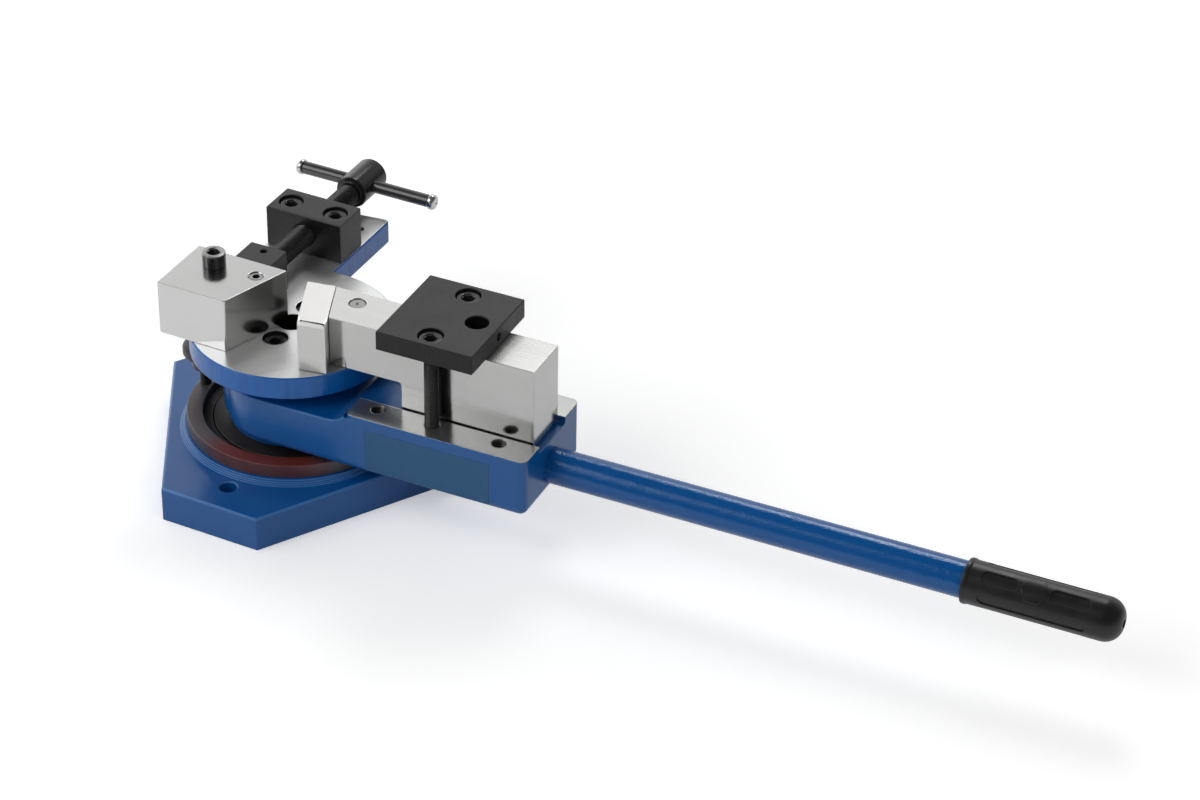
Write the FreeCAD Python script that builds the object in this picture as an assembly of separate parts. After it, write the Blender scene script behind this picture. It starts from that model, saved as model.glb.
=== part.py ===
import FreeCAD, Part
import math
import os

# Bench metal bender: a floor-bolted stand with a round table, and a lever that swings round the table's
# centre and folds a flat bar about the edge of a former block.
# Millimetres. +Z is up and the origin is on the pivot axis, at the underside of the base.
# +Y runs along the clamp screw to its handle. The lever lies along +X, turned by swing_at_rest.

V = FreeCAD.Vector
X_AXIS = V(1, 0, 0)
Y_AXIS = V(0, 1, 0)
Z_AXIS = V(0, 0, 1)

# Clearances
running_clear = 0.05
slide_clear = 0.2
thread_clear = 0.05
bolt_clear = 0.5
head_clear = 0.75
end_float = 0.1
seat_gap = 0.3

# Base casting
base_t = 26.0
base_corner_r = 118.0
base_corner_half_angle = 18.4
base_outline_turn = -0.8
base_edge_round = 1.0
base_top_round = 1.5
floor_hole_r = 6.0
floor_hole_pitch_r = 89.0
boss_step_r = 78.8
boss_step_h = 1.8
boss_r = 76.8
boss_h = 4.0
ring_spigot_wall = 7.0
ring_spigot_h = 3.5
pocket_floor_t = 14.0

# Stop ring and its locking knob
ring_outer_r = 74.5
ring_wall = 11.0
ring_h = 10.0
ring_chamfer = 0.8
stop_angle = 184.0
stop_stud_r = 4.0
stop_stud_neck = 13.5
stop_hub_r = 9.0
stop_hub_h = 10.0
stop_head_r = 15.0
stop_head_h = 9.0
stop_head_round = 2.5
stop_stud_in_knob = 8.0

# Column and washers
column_r = 32.0
flange_r = 50.0
flange_t = 17.0
flange_screw_pitch_r = 41.0
flange_screw_in_base = 9.0
washer_t = 3.0
lower_washer_gap = 0.65
upper_washer_outer_r = 44.0
column_socket_depth = 28.0

# Lever: hub, arm and tube
swing_at_rest = 1.7
hub_knob_gap = 5.5
hub_h = 46.0
hub_bottom_round = 4.1
bush_wall = 3.0
bush_inset = 0.5
arm_axis_y = -16.5
arm_width = 83.4
arm_start_x = -35.0
arm_end_x = 203.4
arm_strip_z = 88.0
arm_bottom_z = 44.0
arm_front_round = 40.0
arm_end_round = 5.0
arm_top_round = 1.6
arm_bottom_round = 7.0
strip_start_x = 70.8
strip_ramp_r = 16.0
strip_corner_round = 5.0
strip_corner_drop = 3.2
channel_width = 39.0
slide_side_clear = 1.2
channel_depth = 5.0
strip_hole_xs = (88.5, 128.4, 177.7)
strip_hole_spacing = 54.4
strip_hole_depth = 24.0
tube_r = 12.4
tube_wall = 3.0
tube_z = 62.0
tube_in_arm = 30.0
tube_end_x = 592.0

# Grip
grip_start_x = 494.0
grip_end_x = 598.3
grip_lip_r = 15.2
grip_lip_w = 4.0
grip_r = 14.6
grip_hole_r = 3.0

# Table
table_top_z = 107.0
table_t = 16.0
table_r = 70.0
table_boss_r = 46.0
table_bore_r = 10.0
table_screw_pitch_r = 22.2
table_screw_in_column = 18.0
table_tail_x = -38.2
table_tail_w = 62.0
table_tail_end_y = 148.8
table_tail_skew = 7.2
table_tail_round = 4.0
table_edge = 0.8
tail_hole_r = 2.6
tail_hole_spacing = 37.0
tail_hole_y = 127.6

# Slide block, die and die pin, in the lever's own axes
slide_end_x = 198.6
slide_foot_x = 101.2
slide_top_z = 144.0
nose_gap = 0.5
nose_mid_x = 41.0
die_slant = 20.5
notch_round = 5.0
slide_heel = 3.0
edge_break = 0.6
die_t = 19.6
die_gap = 0.3
die_front_reach = 32.0
die_back_reach = 19.0
die_end_angle = 9.0
die_nose_round = 3.5
spigot_r = 10.0
spigot_len = 30.0
die_pin_r = 5.9
die_pin_inset = 16.8
die_pin_sink = 0.5
die_pin_depth = 32.0

# Clamp plate
plate_mid_x = 129.0
plate_lx = 70.0
plate_ly = 78.4
plate_t = 14.0
plate_hole_x = 148.4
plate_hole_r = 8.0
plate_edge = 0.8
plate_screw_x = 128.4
plate_screw_len = 72.0
plate_pin_r = 3.0
plate_pin_sink = 1.0

# Screw block and clamp screw
block_y0 = 80.5
block_ly = 29.4
block_lx = 59.4
block_h = 30.0
block_screw_spacing = 35.4
block_screw_len = 40.0
screw_r = 8.0
screw_z_over_table = 15.0
thread_pitch = 2.0
screw_nose_r = 5.0
screw_nose_len = 14.0
screw_groove_r = 3.8
head_start_y = 146.8
head_len = 31.0
head_r = 12.0
head_edge = 1.2
tommy_r = 4.6
tommy_len = 102.6
tommy_shift = 4.1
cap_r = 5.6
cap_len = 5.0
cap_grip = 3.5
cap_dome = 2.6

# Pusher block
pusher_lx = 28.0
pusher_y0 = 8.0
pusher_y1 = 35.5
pusher_h = 30.0
pusher_pin_r = 2.5
pusher_pin_tip_r = 1.9
pusher_pin_back = 7.2

# Former block
former_h = 39.5
former_y1 = 1.0
former_y0 = -52.3
former_x0 = -72.4
former_x1 = -3.0
former_taper = 17.6
former_edge_round = 1.2
former_screw_line_y = -14.6
former_bolt_x = -50.6
former_bolt_end_gap = 1.0
former_pin_x = -17.9
former_pin_len = 14.0

# Socket-head screws: (shank radius, head radius, head height, key width)
M10 = (5.0, 8.0, 10.0, 8.0)
M8 = (4.0, 6.5, 8.0, 6.0)

# Sizes that follow from the ones above
ring_seat_z = base_t + boss_h
ring_top_z = ring_seat_z + ring_h
ring_inner_r = ring_outer_r - ring_wall
spigot_r_outer = ring_inner_r - running_clear
flange_top_z = pocket_floor_t + flange_t
hub_bottom_z = flange_top_z + washer_t
hub_top_z = hub_bottom_z + hub_h
table_bottom_z = table_top_z - table_t
lower_washer_outer_r = spigot_r_outer - ring_spigot_wall - lower_washer_gap
hub_r = (ring_outer_r + ring_inner_r) / 2 - stop_head_r - hub_knob_gap
collar_r = hub_r - hub_bottom_round
bush_outer_r = column_r + running_clear + bush_wall
channel_floor_z = arm_strip_z - channel_depth
arm_y0 = arm_axis_y - arm_width / 2
arm_y1 = arm_axis_y + arm_width / 2
slide_half_w = channel_width / 2 - slide_side_clear
plate_top_z = slide_top_z + plate_t
screw_x = table_tail_x
screw_z = table_top_z + screw_z_over_table
block_y1 = block_y0 + block_ly
strip_screw_ys = (arm_axis_y - strip_hole_spacing / 2, arm_axis_y + strip_hole_spacing / 2)


def box(x0, x1, y0, y1, z0, z1):
    return Part.makeBox(x1 - x0, y1 - y0, z1 - z0, V(x0, y0, z0))


def cyl(r, z0, z1, x=0.0, y=0.0):
    return Part.makeCylinder(r, z1 - z0, V(x, y, z0), Z_AXIS)


def cyl_along(r, start, direction, length):
    return Part.makeCylinder(r, length, start, direction)


def ring(r_out, r_in, z0, z1):
    return cyl(r_out, z0, z1).cut(cyl(r_in, z0, z1))


def prism(points, z0, z1):
    corners = [V(x, y, z0) for x, y in points]
    face = Part.Face(Part.makePolygon(corners + corners[:1]))
    return face.extrude(V(0, 0, z1 - z0))


def is_upright(edge):
    a, b = edge.Vertexes[0].Point, edge.Vertexes[-1].Point
    return abs(a.x - b.x) < 0.01 and abs(a.y - b.y) < 0.01 and abs(a.z - b.z) > 0.01


def is_level(edge, z):
    return edge.BoundBox.ZMin > z - 0.01 and edge.BoundBox.ZMax < z + 0.01


def round_edges(shape, r, wanted):
    edges = [e for e in shape.Edges if wanted(e)]
    return shape.makeFillet(r, edges)


def break_edges(shape, size, wanted):
    edges = [e for e in shape.Edges if wanted(e)]
    return shape.makeChamfer(size, edges)


def hexagon(width, z0, z1, x, y):
    r = width / math.sqrt(3)
    angles = [math.radians(60 * k) for k in range(6)]
    return prism([(x + r * math.cos(a), y + r * math.sin(a)) for a in angles], z0, z1)


def socket_screw(size, length, top_z, x, y):
    """A socket-head screw pointing down, with the top of its head at top_z."""
    shank_r, head_r_, head_h, key = size
    head = break_edges(cyl(head_r_, top_z - head_h, top_z, x, y), 0.6, lambda e: is_level(e, top_z))
    shank_r = shank_r - thread_clear
    shank = cyl(shank_r, top_z - head_h - length, top_z - head_h, x, y)
    shank = break_edges(shank, 0.8, lambda e: is_level(e, top_z - head_h - length))
    return head.fuse(shank).removeSplitter().cut(hexagon(key, top_z - head_h / 2, top_z + 1, x, y))


def set_screw(r, length, top_z, x, y, key):
    """A headless socket screw, flush or sunk, pointing down."""
    body = cyl(r - thread_clear, top_z - length, top_z, x, y)
    body = break_edges(body, 0.4, lambda e: is_level(e, top_z) or is_level(e, top_z - length))
    return body.cut(hexagon(key, top_z - length * 0.4, top_z + 1, x, y))


def counterbored(size, x, y, top_z, sink, bottom_z):
    """The room for a sunk socket-head screw: its head pocket and its clearance hole."""
    shank_r, head_r_, head_h, key = size
    pocket = cyl(head_r_ + head_clear, top_z - head_h - sink, top_z + 1, x, y)
    return pocket.fuse(cyl(shank_r + bolt_clear, bottom_z - 1, top_z, x, y))


def on_circle(r, degrees):
    a = math.radians(degrees)
    return r * math.cos(a), r * math.sin(a)


def on_lever(shape):
    """Turn a piece that was drawn along +X to the lever's angle at rest."""
    turned = shape.copy()
    turned.rotate(V(0, 0, 0), Z_AXIS, swing_at_rest)
    return turned


# Base
def base_outline():
    corners = []
    for hole_angle in (30, 150, 270):
        middle = hole_angle + base_outline_turn
        corners.append(on_circle(base_corner_r, middle - base_corner_half_angle))
        corners.append(on_circle(base_corner_r, middle + base_corner_half_angle))
    return corners


def floor_hole_places():
    return [on_circle(floor_hole_pitch_r, a) for a in (30, 150, 270)]


def flange_screw_places():
    return [on_circle(flange_screw_pitch_r, a) for a in (45, 135, 225, 315)]


def make_base():
    plate = prism(base_outline(), 0, base_t)
    plate = round_edges(plate, base_edge_round, is_upright)
    plate = round_edges(plate, base_top_round, lambda e: is_level(e, base_t))
    body = plate.fuse(cyl(boss_step_r, 1, base_t + boss_step_h))
    body = body.fuse(cyl(boss_r, 1, ring_seat_z)).fuse(cyl(spigot_r_outer, 1, ring_seat_z + ring_spigot_h))
    body = body.removeSplitter()
    body = body.cut(cyl(spigot_r_outer - ring_spigot_wall, pocket_floor_t, ring_top_z))
    for x, y in floor_hole_places():
        body = body.cut(cyl(floor_hole_r, -1, base_t + 1, x, y))
    for x, y in flange_screw_places():
        body = body.cut(cyl(M8[0], pocket_floor_t - flange_screw_in_base - 1, pocket_floor_t + 1, x, y))
    return body


# Column
def table_screw_places():
    return [on_circle(table_screw_pitch_r, a) for a in (0, 90, 180, 270)]


def make_column():
    body = cyl(flange_r, pocket_floor_t, flange_top_z).fuse(cyl(column_r, pocket_floor_t, table_bottom_z))
    body = body.removeSplitter().cut(cyl(table_bore_r, table_bottom_z - column_socket_depth, table_top_z))
    for x, y in flange_screw_places():
        body = body.cut(counterbored(M8, x, y, flange_top_z, seat_gap, pocket_floor_t))
    for x, y in table_screw_places():
        body = body.cut(cyl(M10[0], table_bottom_z - table_screw_in_column - 2, table_top_z, x, y))
    return body


def make_column_screws():
    length = flange_t - M8[2] - seat_gap + flange_screw_in_base
    return Part.makeCompound(
        [socket_screw(M8, length, flange_top_z - seat_gap, x, y) for x, y in flange_screw_places()])


def make_lower_washer():
    return ring(lower_washer_outer_r, column_r + slide_clear, flange_top_z, hub_bottom_z)


def make_upper_washer():
    return ring(upper_washer_outer_r, column_r + slide_clear, hub_top_z + end_float,
                hub_top_z + end_float + washer_t)


# Stop ring
def stop_place():
    return on_circle((ring_outer_r + ring_inner_r) / 2, stop_angle)


def make_stop_ring():
    body = ring(ring_outer_r, ring_inner_r, ring_seat_z, ring_top_z)
    body = break_edges(body, ring_chamfer, lambda e: is_level(e, ring_top_z))
    x, y = stop_place()
    return body.cut(cyl(stop_stud_r, ring_seat_z - 1, ring_top_z + 1, x, y))


def knob_bottom_z():
    return ring_top_z + stop_stud_neck


def make_stop_stud():
    x, y = stop_place()
    stud = cyl(stop_stud_r - thread_clear, ring_seat_z + seat_gap, knob_bottom_z() + stop_stud_in_knob, x, y)
    return break_edges(stud, 0.6, lambda e: not is_upright(e))


def make_stop_knob():
    x, y = stop_place()
    head_z = knob_bottom_z() + stop_hub_h
    top_z = head_z + stop_head_h
    head = cyl(stop_head_r, head_z, top_z, x, y)
    head = round_edges(head, stop_head_round, lambda e: is_level(e, top_z) or is_level(e, head_z))
    body = head.fuse(cyl(stop_hub_r, knob_bottom_z(), head_z + 1, x, y)).removeSplitter()
    return body.cut(cyl(stop_stud_r, knob_bottom_z() - 1, knob_bottom_z() + stop_stud_in_knob + seat_gap, x, y))


# Table
def make_table():
    x0 = table_tail_x - table_tail_w / 2
    x1 = table_tail_x + table_tail_w / 2
    left_end_y = table_tail_end_y - table_tail_w * math.tan(math.radians(table_tail_skew))
    tail = prism([(x0, 0), (x1, 0), (x1, table_tail_end_y), (x0, left_end_y)], table_bottom_z, table_top_z)
    tail = round_edges(tail, table_tail_round, lambda e: is_upright(e) and e.Vertexes[0].Y > 1)
    body = cyl(table_r, table_bottom_z, table_top_z).fuse(tail).removeSplitter()
    body = break_edges(body, table_edge, lambda e: is_level(e, table_top_z))
    body = body.fuse(cyl(table_boss_r, hub_top_z + end_float + washer_t, table_bottom_z)).removeSplitter()
    body = body.cut(cyl(column_r + running_clear, 0, table_bottom_z))
    body = body.cut(cyl(table_bore_r, table_bottom_z - 1, table_top_z + 1))
    for x, y in table_screw_places():
        body = body.cut(counterbored(M10, x, y, table_top_z, seat_gap, table_bottom_z))
    for x, y in block_screw_places():
        body = body.cut(cyl(M10[0], table_bottom_z - 1, table_top_z + 1, x, y))
    for side in (-1, 1):
        x = table_tail_x + side * tail_hole_spacing / 2
        body = body.cut(cyl(tail_hole_r, table_bottom_z - 1, table_top_z + 1, x, tail_hole_y))
    return body.cut(cyl(M10[0], table_bottom_z - 1, table_top_z + 1, former_bolt_x, former_screw_line_y))


def make_table_screws():
    length = table_t - M10[2] - seat_gap + table_screw_in_column
    return Part.makeCompound(
        [socket_screw(M10, length, table_top_z - seat_gap, x, y) for x, y in table_screw_places()])


# Lever, drawn along +X
def make_arm_blank():
    """The arm's plain outline: a long block with one widely rounded corner in front of the hub."""
    blank = box(arm_start_x, arm_end_x, arm_y0, arm_y1, arm_bottom_z, arm_strip_z)
    blank = round_edges(blank, arm_front_round,
                        lambda e: is_upright(e) and e.Vertexes[0].X < 0 and e.Vertexes[0].Y < 0)
    blank = round_edges(blank, arm_end_round, lambda e: is_upright(e) and e.Vertexes[0].X > arm_end_x - 1)
    return round_edges(blank, arm_bottom_round, lambda e: is_level(e, arm_bottom_z) and e.BoundBox.YMin < 0)


def is_arm_top_edge(edge):
    """The front and left edges of the arm's cut-down top."""
    return is_level(edge, hub_top_z) and (edge.BoundBox.YMax < arm_y0 + arm_front_round + 0.1
                                          or edge.BoundBox.XMax < arm_start_x + 0.1)


def make_arm():
    arm = make_arm_blank()
    step_x = strip_start_x + strip_ramp_r - math.sqrt(strip_ramp_r ** 2 - (arm_strip_z - hub_top_z) ** 2)
    step = box(arm_start_x - 30, step_x, arm_y0 - 30, arm_y1 + 30, hub_top_z, hub_top_z + 2 * strip_ramp_r)
    step = round_edges(step, strip_ramp_r,
                       lambda e: is_level(e, hub_top_z) and e.BoundBox.XMin > step_x - 1)
    r = strip_corner_round
    corner = box(strip_start_x - 1, strip_start_x + r, arm_y0 - 1, arm_y0 + r,
                 arm_strip_z - strip_corner_drop, arm_strip_z + 5)
    corner = corner.cut(cyl(r, hub_top_z, arm_strip_z + 10, strip_start_x + r, arm_y0 + r))
    hub = round_edges(cyl(hub_r, arm_bottom_z, hub_top_z), hub_bottom_round,
                      lambda e: is_level(e, arm_bottom_z))
    arm = round_edges(arm.cut(step), arm_top_round, is_arm_top_edge)
    body = arm.cut(corner).fuse(hub).removeSplitter()
    body = body.cut(box(strip_start_x - 25, arm_end_x + 5, arm_axis_y - channel_width / 2,
                        arm_axis_y + channel_width / 2, channel_floor_z, arm_strip_z + 5))
    body = body.cut(cyl(bush_outer_r, arm_bottom_z - 1, hub_top_z + 1))
    body = body.cut(cyl_along(tube_r + running_clear, V(arm_end_x - tube_in_arm, arm_axis_y, tube_z),
                              X_AXIS, tube_in_arm + 5))
    for x in strip_hole_xs:
        for y in strip_screw_ys:
            body = body.cut(cyl(M10[0], arm_strip_z - strip_hole_depth, arm_strip_z + 5, x, y))
    return on_lever(body)


def make_hub_collar():
    return on_lever(break_edges(ring(collar_r, bush_outer_r, hub_bottom_z, arm_bottom_z), edge_break,
                                lambda e: is_level(e, hub_bottom_z)))


def make_hub_bush():
    return on_lever(ring(bush_outer_r - running_clear, column_r + running_clear, hub_bottom_z + bush_inset,
                         hub_top_z - bush_inset))


def make_tube():
    start = V(arm_end_x - tube_in_arm + seat_gap, arm_axis_y, tube_z)
    length = tube_end_x - start.x
    tube = cyl_along(tube_r, start, X_AXIS, length)
    return on_lever(tube.cut(cyl_along(tube_r - tube_wall, start, X_AXIS, length)))


def make_grip():
    length = grip_end_x - grip_start_x
    body = cyl_along(grip_r, V(grip_start_x, 0, 0), X_AXIS, length)
    body = round_edges(body, grip_r * 0.8,
                       lambda e: e.BoundBox.XMin > grip_end_x - 0.01)
    lip = cyl_along(grip_lip_r, V(grip_start_x, 0, 0), X_AXIS, grip_lip_w)
    lip = round_edges(lip, 1.0, lambda e: e.Length > 1 and e.BoundBox.XLength < 0.01)
    body = body.fuse(lip).removeSplitter()
    inner = tube_r + running_clear
    body = body.cut(cyl_along(inner, V(grip_start_x - 1, 0, 0), X_AXIS, tube_end_x - grip_start_x + 1.3))
    body = body.cut(cyl_along(grip_hole_r, V(tube_end_x - 5, 0, 0), X_AXIS, 30))
    body.translate(V(0, arm_axis_y, tube_z))
    return on_lever(body)


# Slide block and die, drawn along +X
def slanted(x):
    """A point of the slanted nose plane at a distance along it from the lever's centre line."""
    a = math.radians(die_slant)
    return nose_mid_x - x * math.sin(a), arm_axis_y + x * math.cos(a)


def nose_x(y):
    return nose_mid_x - (y - arm_axis_y) * math.tan(math.radians(die_slant))


def nose_normal():
    a = math.radians(die_slant)
    return V(math.cos(a), math.sin(a), 0)


def spigot_z():
    return (slide_top_z + table_top_z + nose_gap) / 2


def make_slide_block():
    y0 = arm_axis_y - slide_half_w
    y1 = arm_axis_y + slide_half_w
    plan = [(nose_x(y0), y0), (slide_end_x, y0), (slide_end_x, y1), (nose_x(y1), y1)]
    body = prism(plan, channel_floor_z, slide_top_z)
    notch_z = table_top_z + nose_gap
    notch = box(0, slide_foot_x, y0 - 1, y1 + 1, channel_floor_z - 1, notch_z)
    notch = round_edges(notch, notch_round,
                        lambda e: is_level(e, notch_z) and e.BoundBox.XMin > slide_foot_x - 0.01)
    body = body.cut(notch)
    body = break_edges(body, edge_break, lambda e: is_level(e, slide_top_z))
    body = break_edges(body, slide_heel, lambda e: is_level(e, channel_floor_z)
                       and e.BoundBox.XMin > slide_end_x - 0.01)
    start = V(nose_mid_x, arm_axis_y, spigot_z())
    body = body.cut(cyl_along(spigot_r + running_clear, start - nose_normal() * 5, nose_normal(),
                              spigot_len + 5 + seat_gap))
    x, y = die_pin_place()
    return on_lever(body.cut(cyl(die_pin_r + running_clear, slide_top_z - die_pin_depth - die_pin_sink,
                                 slide_top_z + 1, x, y)))


def die_pin_place():
    p = V(nose_mid_x, arm_axis_y, 0) + nose_normal() * die_pin_inset
    return p.x, p.y


def make_die():
    z0 = table_top_z + nose_gap
    n = nose_normal()
    skew = math.tan(math.radians(die_slant - die_end_angle))
    front = slanted(-die_front_reach)
    back = slanted(die_back_reach)
    along = V(-math.sin(math.radians(die_slant)), math.cos(math.radians(die_slant)), 0)
    corners = []
    for place, off in ((front, die_gap), (back, die_gap), (back, die_gap + die_t), (front, die_gap + die_t)):
        p = V(place[0], place[1], 0) - n * off + along * (skew * (off - die_gap))
        corners.append((p.x, p.y))
    body = prism(corners, z0, slide_top_z + 0.4)
    tip = min(corners, key=lambda c: c[1])
    body = round_edges(body, 1.0, is_upright)
    body = round_edges(body, die_nose_round,
                       lambda e: is_level(e, slide_top_z + 0.4) and e.BoundBox.YMax < tip[1] + 8)
    spigot = cyl_along(spigot_r, V(nose_mid_x, arm_axis_y, spigot_z()) - n * (die_gap + 2), n,
                       spigot_len + die_gap + 2)
    body = body.fuse(spigot).removeSplitter()
    x, y = die_pin_place()
    return on_lever(body.cut(cyl(die_pin_r + running_clear, 0, slide_top_z, x, y)))


def make_die_pin():
    x, y = die_pin_place()
    top_z = slide_top_z - die_pin_sink
    pin = cyl(die_pin_r, top_z - die_pin_depth + seat_gap, top_z, x, y)
    pin = break_edges(pin, 0.8, lambda e: is_level(e, top_z))
    centre_mark = Part.makeCone(0.2, 1.4, 1.2, V(x, y, top_z - 1.2), Z_AXIS)
    return on_lever(pin.cut(centre_mark))


# Clamp plate, drawn along +X
def make_clamp_plate():
    x0 = plate_mid_x - plate_lx / 2
    y0 = arm_axis_y - plate_ly / 2
    body = box(x0, x0 + plate_lx, y0, y0 + plate_ly, slide_top_z, plate_top_z)
    body = break_edges(body, plate_edge, lambda e: True)
    for y in strip_screw_ys:
        body = body.cut(counterbored(M10, plate_screw_x, y, plate_top_z, seat_gap, slide_top_z))
    body = body.cut(cyl(plate_hole_r, slide_top_z - 1, plate_top_z + 1, plate_hole_x, arm_axis_y))
    mid_z = (slide_top_z + plate_top_z) / 2
    return on_lever(body.cut(cyl_along(plate_pin_r, V(plate_hole_x, arm_axis_y, mid_z), X_AXIS, plate_lx)))


def make_plate_screws():
    top_z = plate_top_z - seat_gap
    screws = [socket_screw(M10, plate_screw_len, top_z, plate_screw_x, y) for y in strip_screw_ys]
    return on_lever(Part.makeCompound(screws))


def make_plate_set_screw():
    x1 = plate_mid_x + plate_lx / 2 - plate_pin_sink
    x0 = plate_hole_x + plate_hole_r + plate_pin_sink
    screw = set_screw(plate_pin_r, x1 - x0, 0, 0, 0, 3.0)
    screw.rotate(V(0, 0, 0), Y_AXIS, 90)
    screw.translate(V(x1, arm_axis_y, (slide_top_z + plate_top_z) / 2))
    return on_lever(screw)


# Screw block, clamp screw and pusher
def block_screw_places():
    y = block_y0 + block_ly / 2
    return [(table_tail_x + side * block_screw_spacing / 2, y) for side in (-1, 1)]


def make_screw_block():
    top_z = table_top_z + block_h
    body = box(screw_x - block_lx / 2, screw_x + block_lx / 2, block_y0, block_y1, table_top_z, top_z)
    body = break_edges(body, edge_break, lambda e: not is_level(e, table_top_z))
    body = body.cut(cyl_along(screw_r + running_clear, V(screw_x, block_y0 - 1, screw_z), Y_AXIS, block_ly + 2))
    for x, y in block_screw_places():
        body = body.cut(counterbored(M10, x, y, top_z, seat_gap, table_top_z))
    return body


def make_block_screws():
    top_z = table_top_z + block_h - seat_gap
    length = block_h - M10[2] - seat_gap + table_t - 1.0
    return Part.makeCompound([socket_screw(M10, length, top_z, x, y) for x, y in block_screw_places()])


def tommy_y():
    return head_start_y + head_len / 2


def screw_start_y():
    return pusher_y1 + seat_gap


def make_clamp_screw():
    y0 = screw_start_y()
    body = cyl_along(screw_r, V(screw_x, y0, screw_z), Y_AXIS, head_start_y - y0 + 1)
    body = break_edges(body, 1.0, lambda e: e.BoundBox.YMax < y0 + 0.01)
    head = cyl_along(head_r, V(screw_x, head_start_y, screw_z), Y_AXIS, head_len)
    head = break_edges(head, head_edge, lambda e: e.Length > 1 and e.BoundBox.YLength < 0.01)
    nose = cyl_along(screw_nose_r, V(screw_x, y0 - screw_nose_len, screw_z), Y_AXIS, screw_nose_len + 1)
    groove_y = pusher_y1 - pusher_pin_back
    half = pusher_pin_tip_r + seat_gap
    groove = cyl_along(screw_nose_r + 1, V(screw_x, groove_y - half, screw_z), Y_AXIS, 2 * half)
    groove = groove.cut(cyl_along(screw_groove_r, V(screw_x, groove_y - half, screw_z), Y_AXIS, 2 * half))
    body = body.fuse(head).fuse(nose.cut(groove)).removeSplitter()
    return body.cut(cyl_along(tommy_r + running_clear, V(screw_x - head_r - 1, tommy_y(), screw_z),
                              X_AXIS, 2 * head_r + 2))


def tommy_mid_x():
    return screw_x + tommy_shift


def make_tommy_bar():
    reach = tommy_len / 2 + cap_grip
    body = cyl_along(tommy_r, V(tommy_mid_x() - tommy_len / 2, tommy_y(), screw_z), X_AXIS, tommy_len)
    tenon = cyl_along(tommy_r * 0.65, V(tommy_mid_x() - reach, tommy_y(), screw_z), X_AXIS, 2 * reach)
    return body.fuse(tenon).removeSplitter()


def make_tommy_cap(side):
    start = V(tommy_mid_x() + side * tommy_len / 2, tommy_y(), screw_z)
    out = X_AXIS * side
    body = cyl_along(cap_r, start, out, cap_len)
    body = round_edges(body, cap_dome, lambda e: abs(e.BoundBox.XMin - start.x - side * cap_len) < 0.01
                       and abs(e.BoundBox.XMax - start.x - side * cap_len) < 0.01)
    return body.cut(cyl_along(tommy_r * 0.65 + running_clear, start - out, out, cap_grip + 1 + seat_gap))


def make_pusher_block():
    top_z = table_top_z + pusher_h
    body = box(screw_x - pusher_lx / 2, screw_x + pusher_lx / 2, pusher_y0, pusher_y1, table_top_z, top_z)
    body = break_edges(body, edge_break, lambda e: not is_level(e, table_top_z))
    nose = cyl_along(screw_nose_r + running_clear, V(screw_x, pusher_y1 - screw_nose_len - seat_gap, screw_z),
                     Y_AXIS, screw_nose_len + 5)
    body = body.cut(nose)
    return body.cut(cyl(pusher_pin_r, screw_z, top_z + 1, screw_x, pusher_y1 - pusher_pin_back))


def make_pusher_pin():
    top_z = table_top_z + pusher_h - 2.0
    tip_top_z = screw_z + screw_nose_r + seat_gap
    x, y = screw_x, pusher_y1 - pusher_pin_back
    body = cyl(pusher_pin_r - thread_clear, tip_top_z, top_z, x, y)
    body = body.fuse(cyl(pusher_pin_tip_r, screw_z + screw_groove_r + seat_gap, tip_top_z + 1, x, y))
    return body.removeSplitter().cut(hexagon(2.5, top_z - 2.5, top_z + 1, x, y))


# Former block
def make_former_block():
    top_z = table_top_z + former_h
    run = (former_y1 - former_y0) * math.tan(math.radians(former_taper))
    plan = [(former_x0, former_y0), (former_x1 - run, former_y0), (former_x1, former_y1), (former_x0, former_y1)]
    body = prism(plan, table_top_z, top_z)
    body = round_edges(body, former_edge_round, is_upright)
    body = break_edges(body, 0.5, lambda e: is_level(e, top_z))
    y = former_screw_line_y
    body = body.cut(cyl(M10[0] + bolt_clear, table_top_z - 1, top_z + 1, former_bolt_x, y))
    return body.cut(cyl(M10[0], top_z - former_pin_len - 4, top_z + 1, former_pin_x, y))


def make_former_bolt():
    length = former_h + table_t - former_bolt_end_gap
    return socket_screw(M10, length, table_top_z + former_h + M10[2], former_bolt_x, former_screw_line_y)


def make_former_set_screw():
    top_z = table_top_z + former_h - 0.4
    return set_screw(M10[0], former_pin_len, top_z, former_pin_x, former_screw_line_y, 5.0)


def make_nodes():
    return {
        "base_plate": make_base(),
        "column": make_column(),
        "column_screws": make_column_screws(),
        "lower_thrust_washer": make_lower_washer(),
        "upper_thrust_washer": make_upper_washer(),
        "stop_ring": make_stop_ring(),
        "stop_stud": make_stop_stud(),
        "stop_knob": make_stop_knob(),
        "table": make_table(),
        "table_screws": make_table_screws(),
        "hub_bush": make_hub_bush(),
        "hub_collar": make_hub_collar(),
        "lever_arm": make_arm(),
        "lever_tube": make_tube(),
        "lever_grip": make_grip(),
        "slide_block": make_slide_block(),
        "bending_die": make_die(),
        "die_pin": make_die_pin(),
        "clamp_plate": make_clamp_plate(),
        "plate_screws": make_plate_screws(),
        "plate_set_screw": make_plate_set_screw(),
        "screw_block": make_screw_block(),
        "screw_block_screws": make_block_screws(),
        "clamp_screw": make_clamp_screw(),
        "tommy_bar": make_tommy_bar(),
        "tommy_cap_left": make_tommy_cap(-1),
        "tommy_cap_right": make_tommy_cap(1),
        "pusher_block": make_pusher_block(),
        "pusher_pin": make_pusher_pin(),
        "former_block": make_former_block(),
        "former_bolt": make_former_bolt(),
        "former_set_screw": make_former_set_screw(),
    }


os.makedirs("parts", exist_ok=True)
for name, shape in make_nodes().items():
    if not shape.isValid():
        raise ValueError(name + " is not a valid solid")
    shape.exportStep("parts/" + name + ".step")
    print(name, len(shape.Solids), round(shape.Volume / 1000, 2), "cm3")
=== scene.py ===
"""Looks for the bench metal bender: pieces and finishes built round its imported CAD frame."""

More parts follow.
